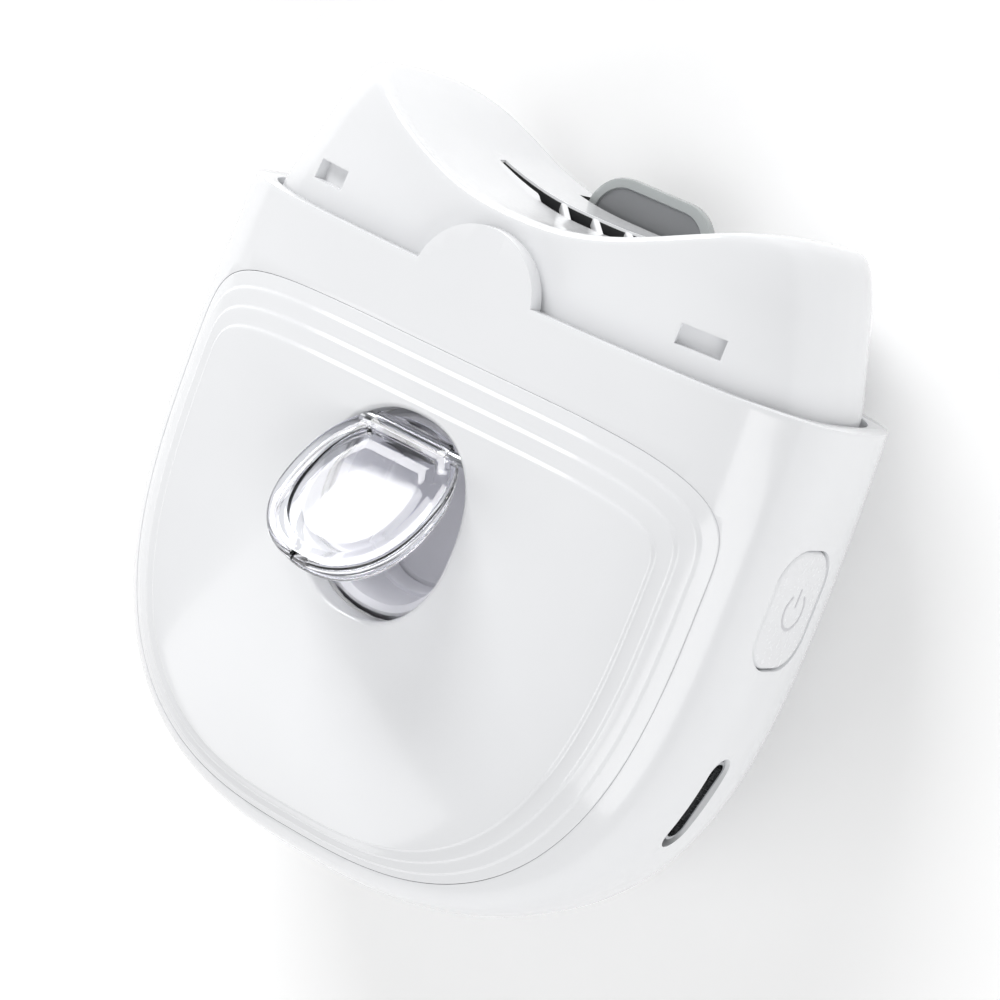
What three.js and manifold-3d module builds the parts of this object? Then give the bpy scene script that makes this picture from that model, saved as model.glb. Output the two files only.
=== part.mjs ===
// Electric nail grinder for pets: a palm-sized pebble body lying on its back.
// Sizes are in millimetres. Parts are placed in a body frame whose y = 0 is the rim plane and whose
// z = 0 is the mid-depth plane; the exported group moves that frame so that the origin is the centre
// of the footprint, +Z is the front face's normal, +Y points to the head and +X to the button side.
import * as THREE from 'three';
import { ParametricGeometry } from 'three/addons/geometries/ParametricGeometry.js';
import { mergeVertices } from 'three/addons/utils/BufferGeometryUtils.js';
import Module from 'manifold-3d';

const wasm = await Module();
wasm.setup();

// ---------------------------------------------------------------- driving dimensions
const HALF_WIDTH = 33.5; // widest half-width of the body
const RIM_TAPER = 0.7; // how much narrower the rim is, each side
const SHOULDER_DROP = 18; // rim to the widest section
const LOWER_LENGTH = 39.3; // widest section to the foot of the body
const FOOT_SHARE = 0.9995; // the last section stops this far down, so that the foot closes on a small flat
const HALF_DEPTH = 16.9; // mid-plane to the front of the main shell
const REST_DEPTH = 16; // mid-plane to the flat the body lies on
const PLAN_POWER = 2.8; // superellipse power of the outline
const SECTION_POWER = 2.95; // superellipse power of a cross-section
const WALL = 1.8; // wall of the moulded shells
const PART_GAP = 0.3; // gap between neighbouring pieces
const FIT_GAP = 0.15; // running clearance on radius

const COVER_TOP = -6.3; // top line of the front and rear covers
const COVER_SIDE_MARGIN = 3.8;
const COVER_FOOT_MARGIN = 3;
const COVER_SHOULDER_POWER = 4.4; // squareness of the covers' upper corners
const TERRACE_COUNT = 3;
const TERRACE_RISE = 0.28;
const PAD_TOP = -12; // top line of the raised pad
const PAD_SIDE_MARGIN = 8.5;
const PAD_FOOT_MARGIN = 6;

const PORT_TOP = -12.6; // oval dust port
const PORT_HALF_WIDTH = 7.9;
const PORT_HALF_HEIGHT = 9.6;
const PORT_POWER = 2.3;
const PORT_Y = PORT_TOP - PORT_HALF_HEIGHT;

const LID_THICKNESS = 2.75;
const LID_GAP = 0.45;
const LID_LIP = 0.95; // thickness of the lid's full-width lip
const LID_STEP = 0.55; // how far the plug under the lip stands in
const LID_WINDOW_MARGIN = 1.9;
const LID_WINDOW_DEPTH = 0.7;
const LID_REST_ANGLE = 42; // degrees open in the stored pose
const LID_PIN_RADIUS = 0.5;
const LID_PIN_HALF_LENGTH = PORT_HALF_WIDTH - 1.7;
const LID_PIN_DROP = 2.2; // port's top to the pin
const LID_PIN_DEPTH = 0.8; // lid's face to the pin
const LID_BARREL_RADIUS = 0.95; // round of the lid's hinge edge
const LID_BARREL_HALF_LENGTH = PORT_HALF_WIDTH - 3.7;

const TONGUE_RADIUS = 6.45;
const TONGUE_RISE = 5.2;

const HEAD_SIDE_STEP = 2.5; // rim to the head's side
const HEAD_FACE_STEP = 2.2; // rim to the head's front
const HEAD_HALF_WIDTH = HALF_WIDTH - RIM_TAPER - HEAD_SIDE_STEP;
const HEAD_HALF_DEPTH = HALF_DEPTH - HEAD_FACE_STEP;
const HEAD_BACK = REST_DEPTH - WALL - PART_GAP;
const HEAD_SKIRT = 4; // how far the head reaches into the body
const HEAD_WALL = 1.6;
const SADDLE_LOW = 6.9;
const SADDLE_RISE = 7.8;
const SADDLE_HALF_SPAN = HEAD_HALF_WIDTH - 3.8;
const HORN_TOP = SADDLE_LOW + SADDLE_RISE - 0.4;
const SADDLE_SKIN = 2;
const SLOT_HALF_LENGTH = 12.6;
const SLOT_HALF_WIDTH = 0.9; // of the slot's wide middle
const SLOT_END_NEAR = 0.1; // front edge of the slot's narrow ends
const SLOT_WIDE = 6; // half-length of the wide middle
const SHELF_RISE = 1; // how far the saddle stands up behind the slot
const SHELF_HALF_LENGTH = 13;
const RIB_PLACES = [-2, 1.7, 5.4]; // each rib's foot on the slot's front edge
const RIB_HALF_WIDTH = 0.4;
const RIB_SLANT = 2.35;
const RIB_THICKNESS = 0.9;
const CATCH_X = 20.8;
const CATCH_Y = 3.05;
const CATCH_WIDTH = 4.3;
const CATCH_HEIGHT = 1.9;
const CATCH_DEPTH = 1.1;

const GUARD_HALF_WIDTH = 7.1;
const GUARD_RISE = 4.8; // saddle's low point to the guard's top
const GUARD_CORNER = 4;
const GUARD_THICKNESS = 1.4;
const GUARD_Z = -10.8;
const GUARD_PIN_Y = SADDLE_LOW - 0.7;
const GUARD_PIN_RADIUS = 0.45;
const GUARD_PIN_END = 1.1; // each end of the pin past the flap

const CHAMBER_SIDE_MARGIN = 3.6; // dust port to the chamber's side
const CHAMBER_HALF_WIDTH = PORT_HALF_WIDTH + CHAMBER_SIDE_MARGIN;
const DRUM_RADIUS = 3.5;
const DRUM_HALF_LENGTH = CHAMBER_HALF_WIDTH + 0.1;
const DRUM_FLUTES = 12;
const DRUM_FLUTE_DEPTH = 0.9;
const BLADE_THICKNESS = 0.4;
const BLADE_OPENINGS = 7;
const CUTTER_Y = SADDLE_LOW - SADDLE_SKIN - BLADE_THICKNESS - 2 * PART_GAP - DRUM_RADIUS;
const CUTTER_Z = 0;
const SHAFT_RADIUS = 1;
const BEARING_X = DRUM_HALF_LENGTH + 2;
const BEARING_RADIUS = 2.6;
const BEARING_WIDTH = 1.6;
const ARM_THICKNESS = 2;

const GEAR_MODULE = 0.5;
const GEAR_WIDTH = 2;
const GEAR_X = -(BEARING_X + ARM_THICKNESS / 2 + 1.2 + GEAR_WIDTH / 2);
const CUTTER_TEETH = 18;
const IDLER_TEETH = 24;
const PINION_TEETH = 10;
const IDLER_AXLE_RADIUS = 0.75;

const PLATE_TOP = -REST_DEPTH + 4.4; // top of the chassis plate
const PLATE_THICKNESS = 1.2;
const MOTOR_RADIUS = 6;
const MOTOR_LENGTH = 19;
const MOTOR_FLAT = 5; // half-height across the can's flats
const MOTOR_LEFT = GEAR_X + 7.8;
const MOTOR_RIGHT = MOTOR_LEFT + MOTOR_LENGTH;
const MOTOR_Z = PLATE_TOP + MOTOR_RADIUS + 0.4;
const MOTOR_SHAFT_RADIUS = 0.75;
const MOTOR_SCREW_PITCH = 3.6; // motor's centre to each of its screws

const CHAMBER_WALL = 1.2;
const CHAMBER_MOUTH = Math.min(-HEAD_SKIRT - 2 * PART_GAP, CUTTER_Y - DRUM_RADIUS - 1.5);
const CHAMBER_FLOOR = PORT_Y - PORT_HALF_HEIGHT - 2.2;
const CHAMBER_BACK = MOTOR_Z + MOTOR_FLAT + 2;
const CHAMBER_FRONT = HALF_DEPTH - WALL - 1.4;
const CHAMBER_THROAT = CUTTER_Z - DRUM_RADIUS - PART_GAP; // rear edge of the mouth, behind the cutter

const BUTTON_Y = -16.8;
const SIDE_Z = 1.3; // height of the button and the charging port
const BUTTON_LENGTH = 11.4;
const BUTTON_WIDTH = 9;
const BUTTON_CORNER = 4.1;
const BUTTON_FLANGE = 0.8;

const USB_Y = -36.4;
const USB_WIDTH = 8.9;
const USB_HEIGHT = 3.2;
const USB_LENGTH = 7;
const USB_SHEET = 0.3;

const drive = driveLine();
const BATTERY = {
  halfWidth: 15,
  top: drive.motor[0] - MOTOR_RADIUS - 5.6,
  foot: -SHOULDER_DROP - LOWER_LENGTH + 9.3,
  back: PLATE_TOP + 1,
  front: PLATE_TOP + 7.5,
};
const BOARD = {
  left: BEARING_X + ARM_THICKNESS / 2 + 0.6,
  right: HALF_WIDTH - 6.5,
  top: BUTTON_Y + 8.8,
  foot: Math.max(USB_Y - 3, -SHOULDER_DROP - 0.54 * LOWER_LENGTH),
  back: SIDE_Z - USB_HEIGHT,
  front: SIDE_Z - USB_HEIGHT + 1,
};
const SWITCH_FACE = HALF_WIDTH - 6.2;
const SCREW_RADIUS = 1;
const SCREW_HEAD_RADIUS = 1.8;
const SCREW_BOSS_RADIUS = 2.5;
const SCREW_BOSS_RISE = 0.8;
const SCREW_X = BEARING_X + 1.9;
const SCREW_PLACES = [-10.5, BATTERY.top + 3.2].flatMap((y) => [[-SCREW_X, y], [SCREW_X, y]]);

// Centres of the idler and the motor, down a straight line from the cutter that ends at the motor's height.
function driveLine() {
  const toIdler = GEAR_MODULE * (CUTTER_TEETH + IDLER_TEETH) / 2;
  const toMotor = toIdler + GEAR_MODULE * (IDLER_TEETH + PINION_TEETH) / 2;
  const tilt = Math.asin((CUTTER_Z - MOTOR_Z) / toMotor);
  const along = (distance) => [CUTTER_Y - distance * Math.cos(tilt), CUTTER_Z - distance * Math.sin(tilt)];
  return { tilt, idler: along(toIdler), motor: along(toMotor) };
}

// ---------------------------------------------------------------- materials
const finish = (color, roughness, metalness = 0, opacity = 1) =>
  new THREE.MeshStandardMaterial({ color, roughness, metalness, opacity, transparent: opacity < 1 });
const glossWhite = finish(0xf4f4f2, 0.18);
const softWhite = finish(0xeeeeec, 0.3);
const smokeGrey = finish(0x8c8f91, 0.2, 0, 0.85);
const clearPlastic = finish(0xeef0f4, 0.05, 0, 0.3);
const linerGrey = finish(0xb9b9bd, 0.4);
const chassisGrey = finish(0x54575a, 0.6);
const steel = finish(0xb8babd, 0.25, 1);
const darkSteel = finish(0x77797c, 0.35, 1);
const acetal = finish(0xe6e2d4, 0.4);
const boardGreen = finish(0x1f5a3a, 0.5);
const blackPlastic = finish(0x1b1b1d, 0.5);
const cellBlue = finish(0x3e6da3, 0.4);
const foamGrey = finish(0x35363a, 0.95);
const rubber = finish(0x2a2a2c, 0.85);

// ---------------------------------------------------------------- solids
const FAR = 40; // past every face of the object

// A closed three.js geometry as a manifold solid facing out.
function solid(geometry) {
  const bare = geometry.index ? geometry.toNonIndexed() : geometry.clone();
  bare.deleteAttribute('normal');
  bare.deleteAttribute('uv');
  const merged = mergeVertices(bare, 1e-4);
  const triVerts = [];
  const index = merged.index.array;
  for (let i = 0; i < index.length; i += 3) {
    const [a, b, c] = [index[i], index[i + 1], index[i + 2]];
    if (a !== b && b !== c && c !== a) triVerts.push(a, b, c);
  }
  const build = (triangles) => new wasm.Manifold(new wasm.Mesh({
    numProp: 3,
    vertProperties: new Float32Array(merged.attributes.position.array),
    triVerts: new Uint32Array(triangles),
  }));
  const made = build(triVerts);
  return made.volume() > 0 ? made : build(triVerts.reverse());
}

const union = (first, ...rest) => rest.reduce((sum, piece) => sum.add(piece), first);

function geometryOf(manifold) {
  const mesh = manifold.getMesh();
  const geometry = new THREE.BufferGeometry();
  geometry.setAttribute('position', new THREE.BufferAttribute(new Float32Array(mesh.vertProperties), 3));
  geometry.setIndex(new THREE.BufferAttribute(new Uint32Array(mesh.triVerts), 1));
  const flat = geometry.toNonIndexed();
  flat.computeVertexNormals();
  return flat;
}

// A box between two corners.
function block(x0, x1, y0, y1, z0, z1) {
  const geometry = new THREE.BoxGeometry(x1 - x0, y1 - y0, z1 - z0);
  return solid(geometry.translate((x0 + x1) / 2, (y0 + y1) / 2, (z0 + z1) / 2));
}

// A closed outline of [a, b] points, extruded along one axis from one place to another.
function prism(points, axis, from, to) {
  const shape = new THREE.Shape(points.map(([a, b]) => new THREE.Vector2(a, b)));
  return extrudedShape(shape, axis, from, to);
}

// A closed outline of [x, z] points, extruded up from one height to another.
function prismUp(points, from, to) {
  return prism(points.map(([x, z]) => [x, -z]), 'z', from, to).rotate([-90, 0, 0]);
}

function extrudedShape(shape, axis, from, to) {
  const settings = { depth: to - from, bevelEnabled: false, curveSegments: 6 };
  const geometry = new THREE.ExtrudeGeometry(shape, settings);
  geometry.translate(0, 0, from);
  if (axis === 'x') geometry.rotateX(Math.PI / 2).rotateZ(Math.PI / 2);
  return solid(geometry);
}

// A round bar along x or z.
function bar(axis, radius, from, to, a, b, sides = 20) {
  const geometry = new THREE.CylinderGeometry(radius, radius, to - from, sides);
  if (axis === 'x') geometry.rotateZ(-Math.PI / 2).translate((from + to) / 2, a, b);
  else geometry.rotateX(Math.PI / 2).translate(a, b, (from + to) / 2);
  return solid(geometry);
}

const tube = (axis, outer, inner, from, to, a, b, sides = 24) =>
  bar(axis, outer, from, to, a, b, sides).subtract(bar(axis, inner, from - 1, to + 1, a, b, sides));

const superCos = (angle, power) => Math.sign(Math.cos(angle)) * Math.abs(Math.cos(angle)) ** (2 / power);
const superSin = (angle, power) => Math.sign(Math.sin(angle)) * Math.abs(Math.sin(angle)) ** (2 / power);

// Cross-sections { y, width, depth } joined into one closed body with a centre point at each end.
function loft(sections, power, around = 40) {
  const stacks = sections.length + 1;
  const place = (u, v, target) => {
    const row = Math.round(v * stacks);
    const section = sections[Math.min(Math.max(row - 1, 0), sections.length - 1)];
    const open = row > 0 && row < stacks ? 1 : 0;
    const angle = 2 * Math.PI * (Math.round(u * around) % around) / around;
    target.set(open * section.width * superCos(angle, power), section.y,
      open * section.depth * superSin(angle, power));
  };
  return solid(new ParametricGeometry(place, around, stacks));
}

function roundedRectangle(width, height, radius) {
  const shape = new THREE.Shape();
  const [x, y] = [width / 2, height / 2];
  shape.moveTo(-x + radius, -y);
  shape.lineTo(x - radius, -y);
  shape.absarc(x - radius, -y + radius, radius, -Math.PI / 2, 0);
  shape.lineTo(x, y - radius);
  shape.absarc(x - radius, y - radius, radius, 0, Math.PI / 2);
  shape.lineTo(-x + radius, y);
  shape.absarc(-x + radius, y - radius, radius, Math.PI / 2, Math.PI);
  shape.lineTo(-x, -y + radius);
  shape.absarc(-x + radius, -y + radius, radius, Math.PI, 1.5 * Math.PI);
  return shape;
}

// ---------------------------------------------------------------- body form
// Half-width and half-depth of the pebble at a height y, for a skin set in by inset.
function bodySection(y, inset = 0) {
  const widest = HALF_WIDTH - inset;
  if (y > -SHOULDER_DROP) {
    const rise = Math.min((y + SHOULDER_DROP) / SHOULDER_DROP, 1);
    return { y, width: widest - RIM_TAPER * rise ** 2, depth: HALF_DEPTH - inset };
  }
  const drop = Math.min((-SHOULDER_DROP - y) / (LOWER_LENGTH - inset), 1);
  const shrink = (1 - drop ** PLAN_POWER) ** (1 / PLAN_POWER);
  return { y, width: widest * shrink, depth: (HALF_DEPTH - inset) * shrink ** 0.6 };
}

function pebble(inset, top) {
  const rows = [top];
  if (top > 0) rows.push(0);
  rows.push(-SHOULDER_DROP / 2, -SHOULDER_DROP);
  const steps = 11;
  for (let i = 1; i < steps; i += 1) {
    rows.push(-SHOULDER_DROP - (LOWER_LENGTH - inset) * Math.sin(0.5 * Math.PI * i / (steps - 0.35)));
  }
  rows.push(-SHOULDER_DROP - (LOWER_LENGTH - inset) * FOOT_SHARE);
  return loft(rows.map((y) => bodySection(y, inset)), SECTION_POWER);
}

const behind = (z) => block(-60, 60, -90, 60, -60, z);
const restedPebble = (inset, top) => pebble(inset, top).subtract(behind(-REST_DEPTH + inset));

// Height of the front skin over a point of the plan.
function skinHeight(x, y, inset) {
  const { width, depth } = bodySection(y, inset);
  const share = Math.min(Math.abs(x) / width, 1);
  return depth * (1 - share ** SECTION_POWER) ** (1 / SECTION_POWER);
}

// Plan outline of a cover: squared shoulders above the widest section, the body's own curve below it.
function coverOutline(top, sideMargin, footMargin, shrink = 0, count = 44) {
  const halfWidth = HALF_WIDTH - sideMargin - shrink;
  const foot = LOWER_LENGTH - footMargin - shrink;
  const shoulder = top - shrink + SHOULDER_DROP;
  return Array.from({ length: count }, (_, i) => {
    const angle = 2 * Math.PI * (i + 0.5) / count;
    const rising = Math.sin(angle) > 0;
    const power = rising ? COVER_SHOULDER_POWER : PLAN_POWER;
    return [halfWidth * superCos(angle, power),
      -SHOULDER_DROP + (rising ? shoulder : foot) * superSin(angle, power)];
  });
}

const portOutline = (grow, count = 32) => Array.from({ length: count }, (_, i) => {
  const angle = 2 * Math.PI * (i + 0.5) / count;
  return [(PORT_HALF_WIDTH + grow) * superCos(angle, PORT_POWER),
    PORT_Y + (PORT_HALF_HEIGHT + grow) * superSin(angle, PORT_POWER)];
});

const panel = (shrink) => coverOutline(COVER_TOP, COVER_SIDE_MARGIN, COVER_FOOT_MARGIN, shrink);

// ---------------------------------------------------------------- shells
const padFace = skinHeight(0, PORT_Y, 0) + TERRACE_COUNT * TERRACE_RISE;

// Unit vector of the body's outline normal at the charging port, and the place on the skin.
const usbPlace = (() => {
  const step = 0.5;
  const above = bodySection(USB_Y + step).width;
  const below = bodySection(USB_Y - step).width;
  const angle = Math.atan2(-(above - below), 2 * step);
  return { x: bodySection(USB_Y).width, y: USB_Y, angle };
})();

// A shape extruded sideways, its length lying along y and its height along z.
function sideways(shape, from, to, curveSegments) {
  const geometry = new THREE.ExtrudeGeometry(shape, { depth: to - from, bevelEnabled: false, curveSegments });
  return geometry.translate(0, 0, from).rotateZ(Math.PI / 2).rotateY(Math.PI / 2);
}

// Along the port's outward normal, from and to counted from the skin.
const atUsb = (shape, from, to) =>
  solid(sideways(shape, from, to, 4).rotateZ(usbPlace.angle).translate(usbPlace.x, usbPlace.y, SIDE_Z));

const atButton = (shape, from, to) => solid(sideways(shape, from, to, 6).translate(0, BUTTON_Y, SIDE_Z));

function mainHousing() {
  const shell = restedPebble(0, 0).subtract(restedPebble(WALL, 2));
  const tongueDisc = bar('z', TONGUE_RADIUS, 5, FAR, 0, TONGUE_RISE - TONGUE_RADIUS, 36);
  const tongue = pebble(0, TONGUE_RISE + 2).subtract(pebble(WALL, TONGUE_RISE + 4)).intersect(tongueDisc)
    .intersect(block(-FAR, FAR, -2, FAR, 0, FAR));
  const buttonHole = atButton(roundedRectangle(BUTTON_LENGTH + 2 * PART_GAP, BUTTON_WIDTH + 2 * PART_GAP,
    BUTTON_CORNER + PART_GAP), HALF_WIDTH - 6, HALF_WIDTH + 3);
  const usbHole = atUsb(roundedRectangle(USB_WIDTH + 2 * PART_GAP, USB_HEIGHT + 2 * PART_GAP,
    USB_HEIGHT / 2), -5, 3);
  return shell.add(tongue)
    .subtract(prism(panel(0), 'z', 3, FAR))
    .subtract(prism(panel(0), 'z', -FAR, -3))
    .subtract(buttonHole).subtract(usbHole);
}

// The front cover's plan is filled by rings between its outline and the dust port, so that each
// terrace edge is a ring of its own.
function frontCover() {
  const outer = coverOutline(COVER_TOP, COVER_SIDE_MARGIN, COVER_FOOT_MARGIN, PART_GAP);
  const pad = coverOutline(PAD_TOP, PAD_SIDE_MARGIN, PAD_FOOT_MARGIN, 0);
  const port = portOutline(0, outer.length);
  const rings = [];
  const mix = (from, to, share) => from.map(([x, y], i) =>
    [x + (to[i][0] - x) * share, y + (to[i][1] - y) * share]);
  const ring = (plan, raise) => plan.map(([x, y]) => [x, y, skinHeight(x, y, 0) + raise]);
  const terraceRun = 0.1;
  rings.push(ring(outer, 0));
  for (let i = 0; i < TERRACE_COUNT; i += 1) {
    const edge = (i + 1) / TERRACE_COUNT;
    rings.push(ring(mix(outer, pad, edge - terraceRun), i * TERRACE_RISE));
    rings.push(ring(mix(outer, pad, edge), (i + 1) * TERRACE_RISE));
  }
  const full = TERRACE_COUNT * TERRACE_RISE;
  rings.push(ring(mix(pad, port, 0.5), full), ring(port, full));
  for (const share of [0, 0.5, 1]) {
    rings.push(mix(port, outer, share).map(([x, y]) => [x, y, skinHeight(x, y, WALL)]));
  }
  const place = (u, v, target) => {
    const row = rings[Math.round(v * rings.length) % rings.length];
    target.set(...row[Math.round(u * row.length) % row.length]);
  };
  const cover = solid(new ParametricGeometry(place, outer.length, rings.length));
  return cover.subtract(lidPin(FIT_GAP, 0.2));
}

function rearCover() {
  const shell = restedPebble(0, 0).subtract(restedPebble(WALL, 2));
  let cover = shell.intersect(prism(panel(PART_GAP), 'z', -FAR, -3));
  for (const [x, y] of SCREW_PLACES) {
    const seat = bar('z', SCREW_HEAD_RADIUS + 1, -REST_DEPTH + 1, -REST_DEPTH + WALL + 0.5, x, y);
    const sink = bar('z', SCREW_HEAD_RADIUS + PART_GAP, -REST_DEPTH - 1, -REST_DEPTH + 1.3, x, y);
    const hole = bar('z', SCREW_RADIUS + PART_GAP, -REST_DEPTH - 1, -REST_DEPTH + 4, x, y);
    cover = cover.add(seat).subtract(sink).subtract(hole);
  }
  return cover;
}

function rearScrew(x, y) {
  const head = bar('z', SCREW_HEAD_RADIUS, -REST_DEPTH + 0.25, -REST_DEPTH + 1.05, x, y);
  const shank = bar('z', SCREW_RADIUS, -REST_DEPTH + 1, PLATE_TOP + SCREW_BOSS_RISE - 0.2, x, y, 12);
  const recess = block(x - 1.1, x + 1.1, y - 0.25, y + 0.25, -FAR, -REST_DEPTH + 0.65)
    .add(block(x - 0.25, x + 0.25, y - 1.1, y + 1.1, -FAR, -REST_DEPTH + 0.65));
  return head.add(shank).subtract(recess);
}

// ---------------------------------------------------------------- head
function saddleHeight(x) {
  const share = Math.min(Math.abs(x) / SADDLE_HALF_SPAN, 1) ** 1.25;
  return SADDLE_LOW + SADDLE_RISE * share * share * (3 - 2 * share);
}

// Everything above the saddle's curve, less a drop, as a prism through the head. The part behind the
// slot stands higher, as a shelf.
function aboveSaddle(drop) {
  const steps = 24;
  const prismAbove = (rise, from, to) => {
    const curve = Array.from({ length: steps + 1 }, (_, i) => {
      const x = -SADDLE_HALF_SPAN + 2 * SADDLE_HALF_SPAN * i / steps;
      return [x, saddleHeight(x) + rise * Math.max(1 - (x / SHELF_HALF_LENGTH) ** 2, 0) - drop];
    });
    const end = saddleHeight(SADDLE_HALF_SPAN) - drop;
    return prism([[-FAR, end], ...curve, [FAR, end], [FAR, FAR], [-FAR, FAR]], 'z', from, to);
  };
  return prismAbove(0, 0, FAR).add(prismAbove(SHELF_RISE, -FAR, 0.01));
}

// Opening over the cutter: wide in the middle, narrow at its ends, pointed at its tips.
function slotCut() {
  const nearSide = [[SLOT_HALF_LENGTH, -0.3], [SLOT_HALF_LENGTH - 0.6, SLOT_END_NEAR],
    [SLOT_WIDE + 0.6, SLOT_END_NEAR], [SLOT_WIDE, SLOT_HALF_WIDTH]];
  const farSide = [[-SLOT_HALF_LENGTH + 0.6, -SLOT_HALF_WIDTH], [SLOT_HALF_LENGTH - 0.6, -SLOT_HALF_WIDTH]];
  const mirrored = nearSide.map(([x, z]) => [-x, z]).reverse();
  return prismUp([...nearSide, ...mirrored, ...farSide], SADDLE_LOW - SADDLE_SKIN - 1, FAR);
}

// Slanted ribs across the slot, flush with the front edge.
function slotRibs() {
  return RIB_PLACES.map((x) => {
    const [near, far, top] = [SLOT_HALF_WIDTH + 0.2, -SLOT_HALF_WIDTH - 0.2, saddleHeight(x) - 0.1];
    const back = x - RIB_SLANT;
    return prismUp([[x - RIB_HALF_WIDTH, near], [x + RIB_HALF_WIDTH, near], [back + RIB_HALF_WIDTH, far],
      [back - RIB_HALF_WIDTH, far]], top - RIB_THICKNESS, top);
  });
}

function headForm(inset, foot) {
  const taper = [[foot, 0, 0], [0, 0, 0], [3.5, 1, 0.1], [7, 2.2, 0.2], [10, 3.2, 0.3], [12.8, 4.6, 0.6],
    [HORN_TOP, 6, 1.2]];
  return loft(taper.map(([y, sideIn, depthIn]) => ({ y,
    width: HEAD_HALF_WIDTH - sideIn - inset, depth: HEAD_HALF_DEPTH - depthIn - inset })), SECTION_POWER)
    .subtract(behind(-HEAD_BACK + inset));
}

function guardPin(extraRadius, extraLength) {
  return bar('x', GUARD_PIN_RADIUS + extraRadius, -GUARD_HALF_WIDTH - GUARD_PIN_END - extraLength,
    GUARD_HALF_WIDTH + GUARD_PIN_END + extraLength, GUARD_PIN_Y, GUARD_Z, 16);
}

function headShell() {
  const outside = headForm(0, -HEAD_SKIRT).subtract(aboveSaddle(0));
  const inside = headForm(HEAD_WALL, -HEAD_SKIRT - 1).subtract(aboveSaddle(SADDLE_SKIN));
  const reach = GUARD_HALF_WIDTH + PART_GAP;
  const guardCut = block(-reach, reach, SADDLE_LOW - 4, FAR, GUARD_Z - 1.2, GUARD_Z + 1.9);
  const head = union(outside.subtract(inside).subtract(slotCut()), ...slotRibs());
  return head.subtract(guardCut).subtract(guardPin(FIT_GAP, 0.2))
    .subtract(catchCut(-1)).subtract(catchCut(1));
}

// Blind pocket for a cap's catch, its floor parallel to the head's face.
function catchCut(side) {
  const [reach, step] = [5, 0.5];
  const slope = Math.atan2(headFaceZ(CATCH_X - step) - headFaceZ(CATCH_X + step), 2 * step);
  return block(-CATCH_WIDTH / 2, CATCH_WIDTH / 2, -CATCH_HEIGHT / 2, CATCH_HEIGHT / 2, -CATCH_DEPTH, reach)
    .rotate([0, side * slope * 180 / Math.PI, 0])
    .translate([side * CATCH_X, CATCH_Y, headFaceZ(CATCH_X)]);
}

// Front face of the head at the catches' height.
function headFaceZ(x) {
  const share = Math.abs(x) / (HEAD_HALF_WIDTH - 1);
  return (HEAD_HALF_DEPTH - 0.1) * (1 - share ** SECTION_POWER) ** (1 / SECTION_POWER);
}

function fixedBlade() {
  const halfLength = DRUM_HALF_LENGTH + 0.4;
  const foot = CUTTER_Y + DRUM_RADIUS + PART_GAP;
  let plate = block(-halfLength, halfLength, foot, foot + BLADE_THICKNESS, -3, 3);
  const pitch = (2 * halfLength - 1.2) / BLADE_OPENINGS;
  for (let i = 0; i < BLADE_OPENINGS; i += 1) {
    const start = -halfLength + 0.9 + i * pitch;
    plate = plate.subtract(block(start, start + pitch - 0.6, -1, FAR, -1.3, 1.3));
  }
  return plate;
}

function guardFlap() {
  const height = SADDLE_LOW + GUARD_RISE - GUARD_PIN_Y;
  const shape = new THREE.Shape();
  shape.moveTo(-GUARD_HALF_WIDTH, -0.7);
  shape.lineTo(GUARD_HALF_WIDTH, -0.7);
  shape.lineTo(GUARD_HALF_WIDTH, height - GUARD_CORNER);
  shape.absarc(GUARD_HALF_WIDTH - GUARD_CORNER, height - GUARD_CORNER, GUARD_CORNER, 0, Math.PI / 2);
  shape.lineTo(-GUARD_HALF_WIDTH + GUARD_CORNER, height);
  shape.absarc(-GUARD_HALF_WIDTH + GUARD_CORNER, height - GUARD_CORNER, GUARD_CORNER, Math.PI / 2, Math.PI);
  const plate = extrudedShape(shape, 'z', -GUARD_THICKNESS / 2, GUARD_THICKNESS / 2)
    .translate([0, GUARD_PIN_Y, GUARD_Z]);
  return plate.subtract(guardPin(FIT_GAP, 1));
}

// ---------------------------------------------------------------- dust port and chamber
const lidPinY = PORT_Y + PORT_HALF_HEIGHT - LID_PIN_DROP;
const lidPinZ = padFace - LID_PIN_DEPTH;

function lidPin(extraRadius, extraLength) {
  return bar('x', LID_PIN_RADIUS + extraRadius, -LID_PIN_HALF_LENGTH - extraLength,
    LID_PIN_HALF_LENGTH + extraLength, lidPinY, lidPinZ, 16);
}

function dustLid() {
  const foot = padFace - LID_THICKNESS;
  const lip = prism(portOutline(-LID_GAP), 'z', padFace - LID_LIP, padFace);
  const plug = prism(portOutline(-LID_GAP - LID_STEP), 'z', foot, padFace - LID_LIP + 0.01);
  const window = prism(portOutline(-LID_GAP - LID_WINDOW_MARGIN), 'z', padFace - LID_WINDOW_DEPTH, FAR)
    .intersect(block(-FAR, FAR, -FAR, lidPinY - 1.6, 0, FAR));
  const notch = block(-0.9, 0.9, PORT_Y - PORT_HALF_HEIGHT - 1, PORT_Y - PORT_HALF_HEIGHT + LID_GAP + 0.5,
    padFace - LID_LIP - 0.2, FAR);
  const barrel = bar('x', LID_BARREL_RADIUS, -FAR, FAR, lidPinY, lidPinZ, 24);
  const aroundBarrel = block(-FAR, FAR, lidPinY, FAR, lidPinZ, FAR).subtract(barrel);
  const shoulders = block(-FAR, FAR, lidPinY - 0.9, FAR, 0, FAR)
    .subtract(block(-LID_BARREL_HALF_LENGTH, LID_BARREL_HALF_LENGTH, -FAR, FAR, -1, FAR + 1));
  const closed = lip.add(plug).subtract(window).subtract(notch).subtract(aroundBarrel).subtract(shoulders)
    .subtract(lidPin(FIT_GAP, 1));
  return closed.translate([0, -lidPinY, -lidPinZ]).rotate([-LID_REST_ANGLE, 0, 0])
    .translate([0, lidPinY, lidPinZ]);
}

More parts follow.
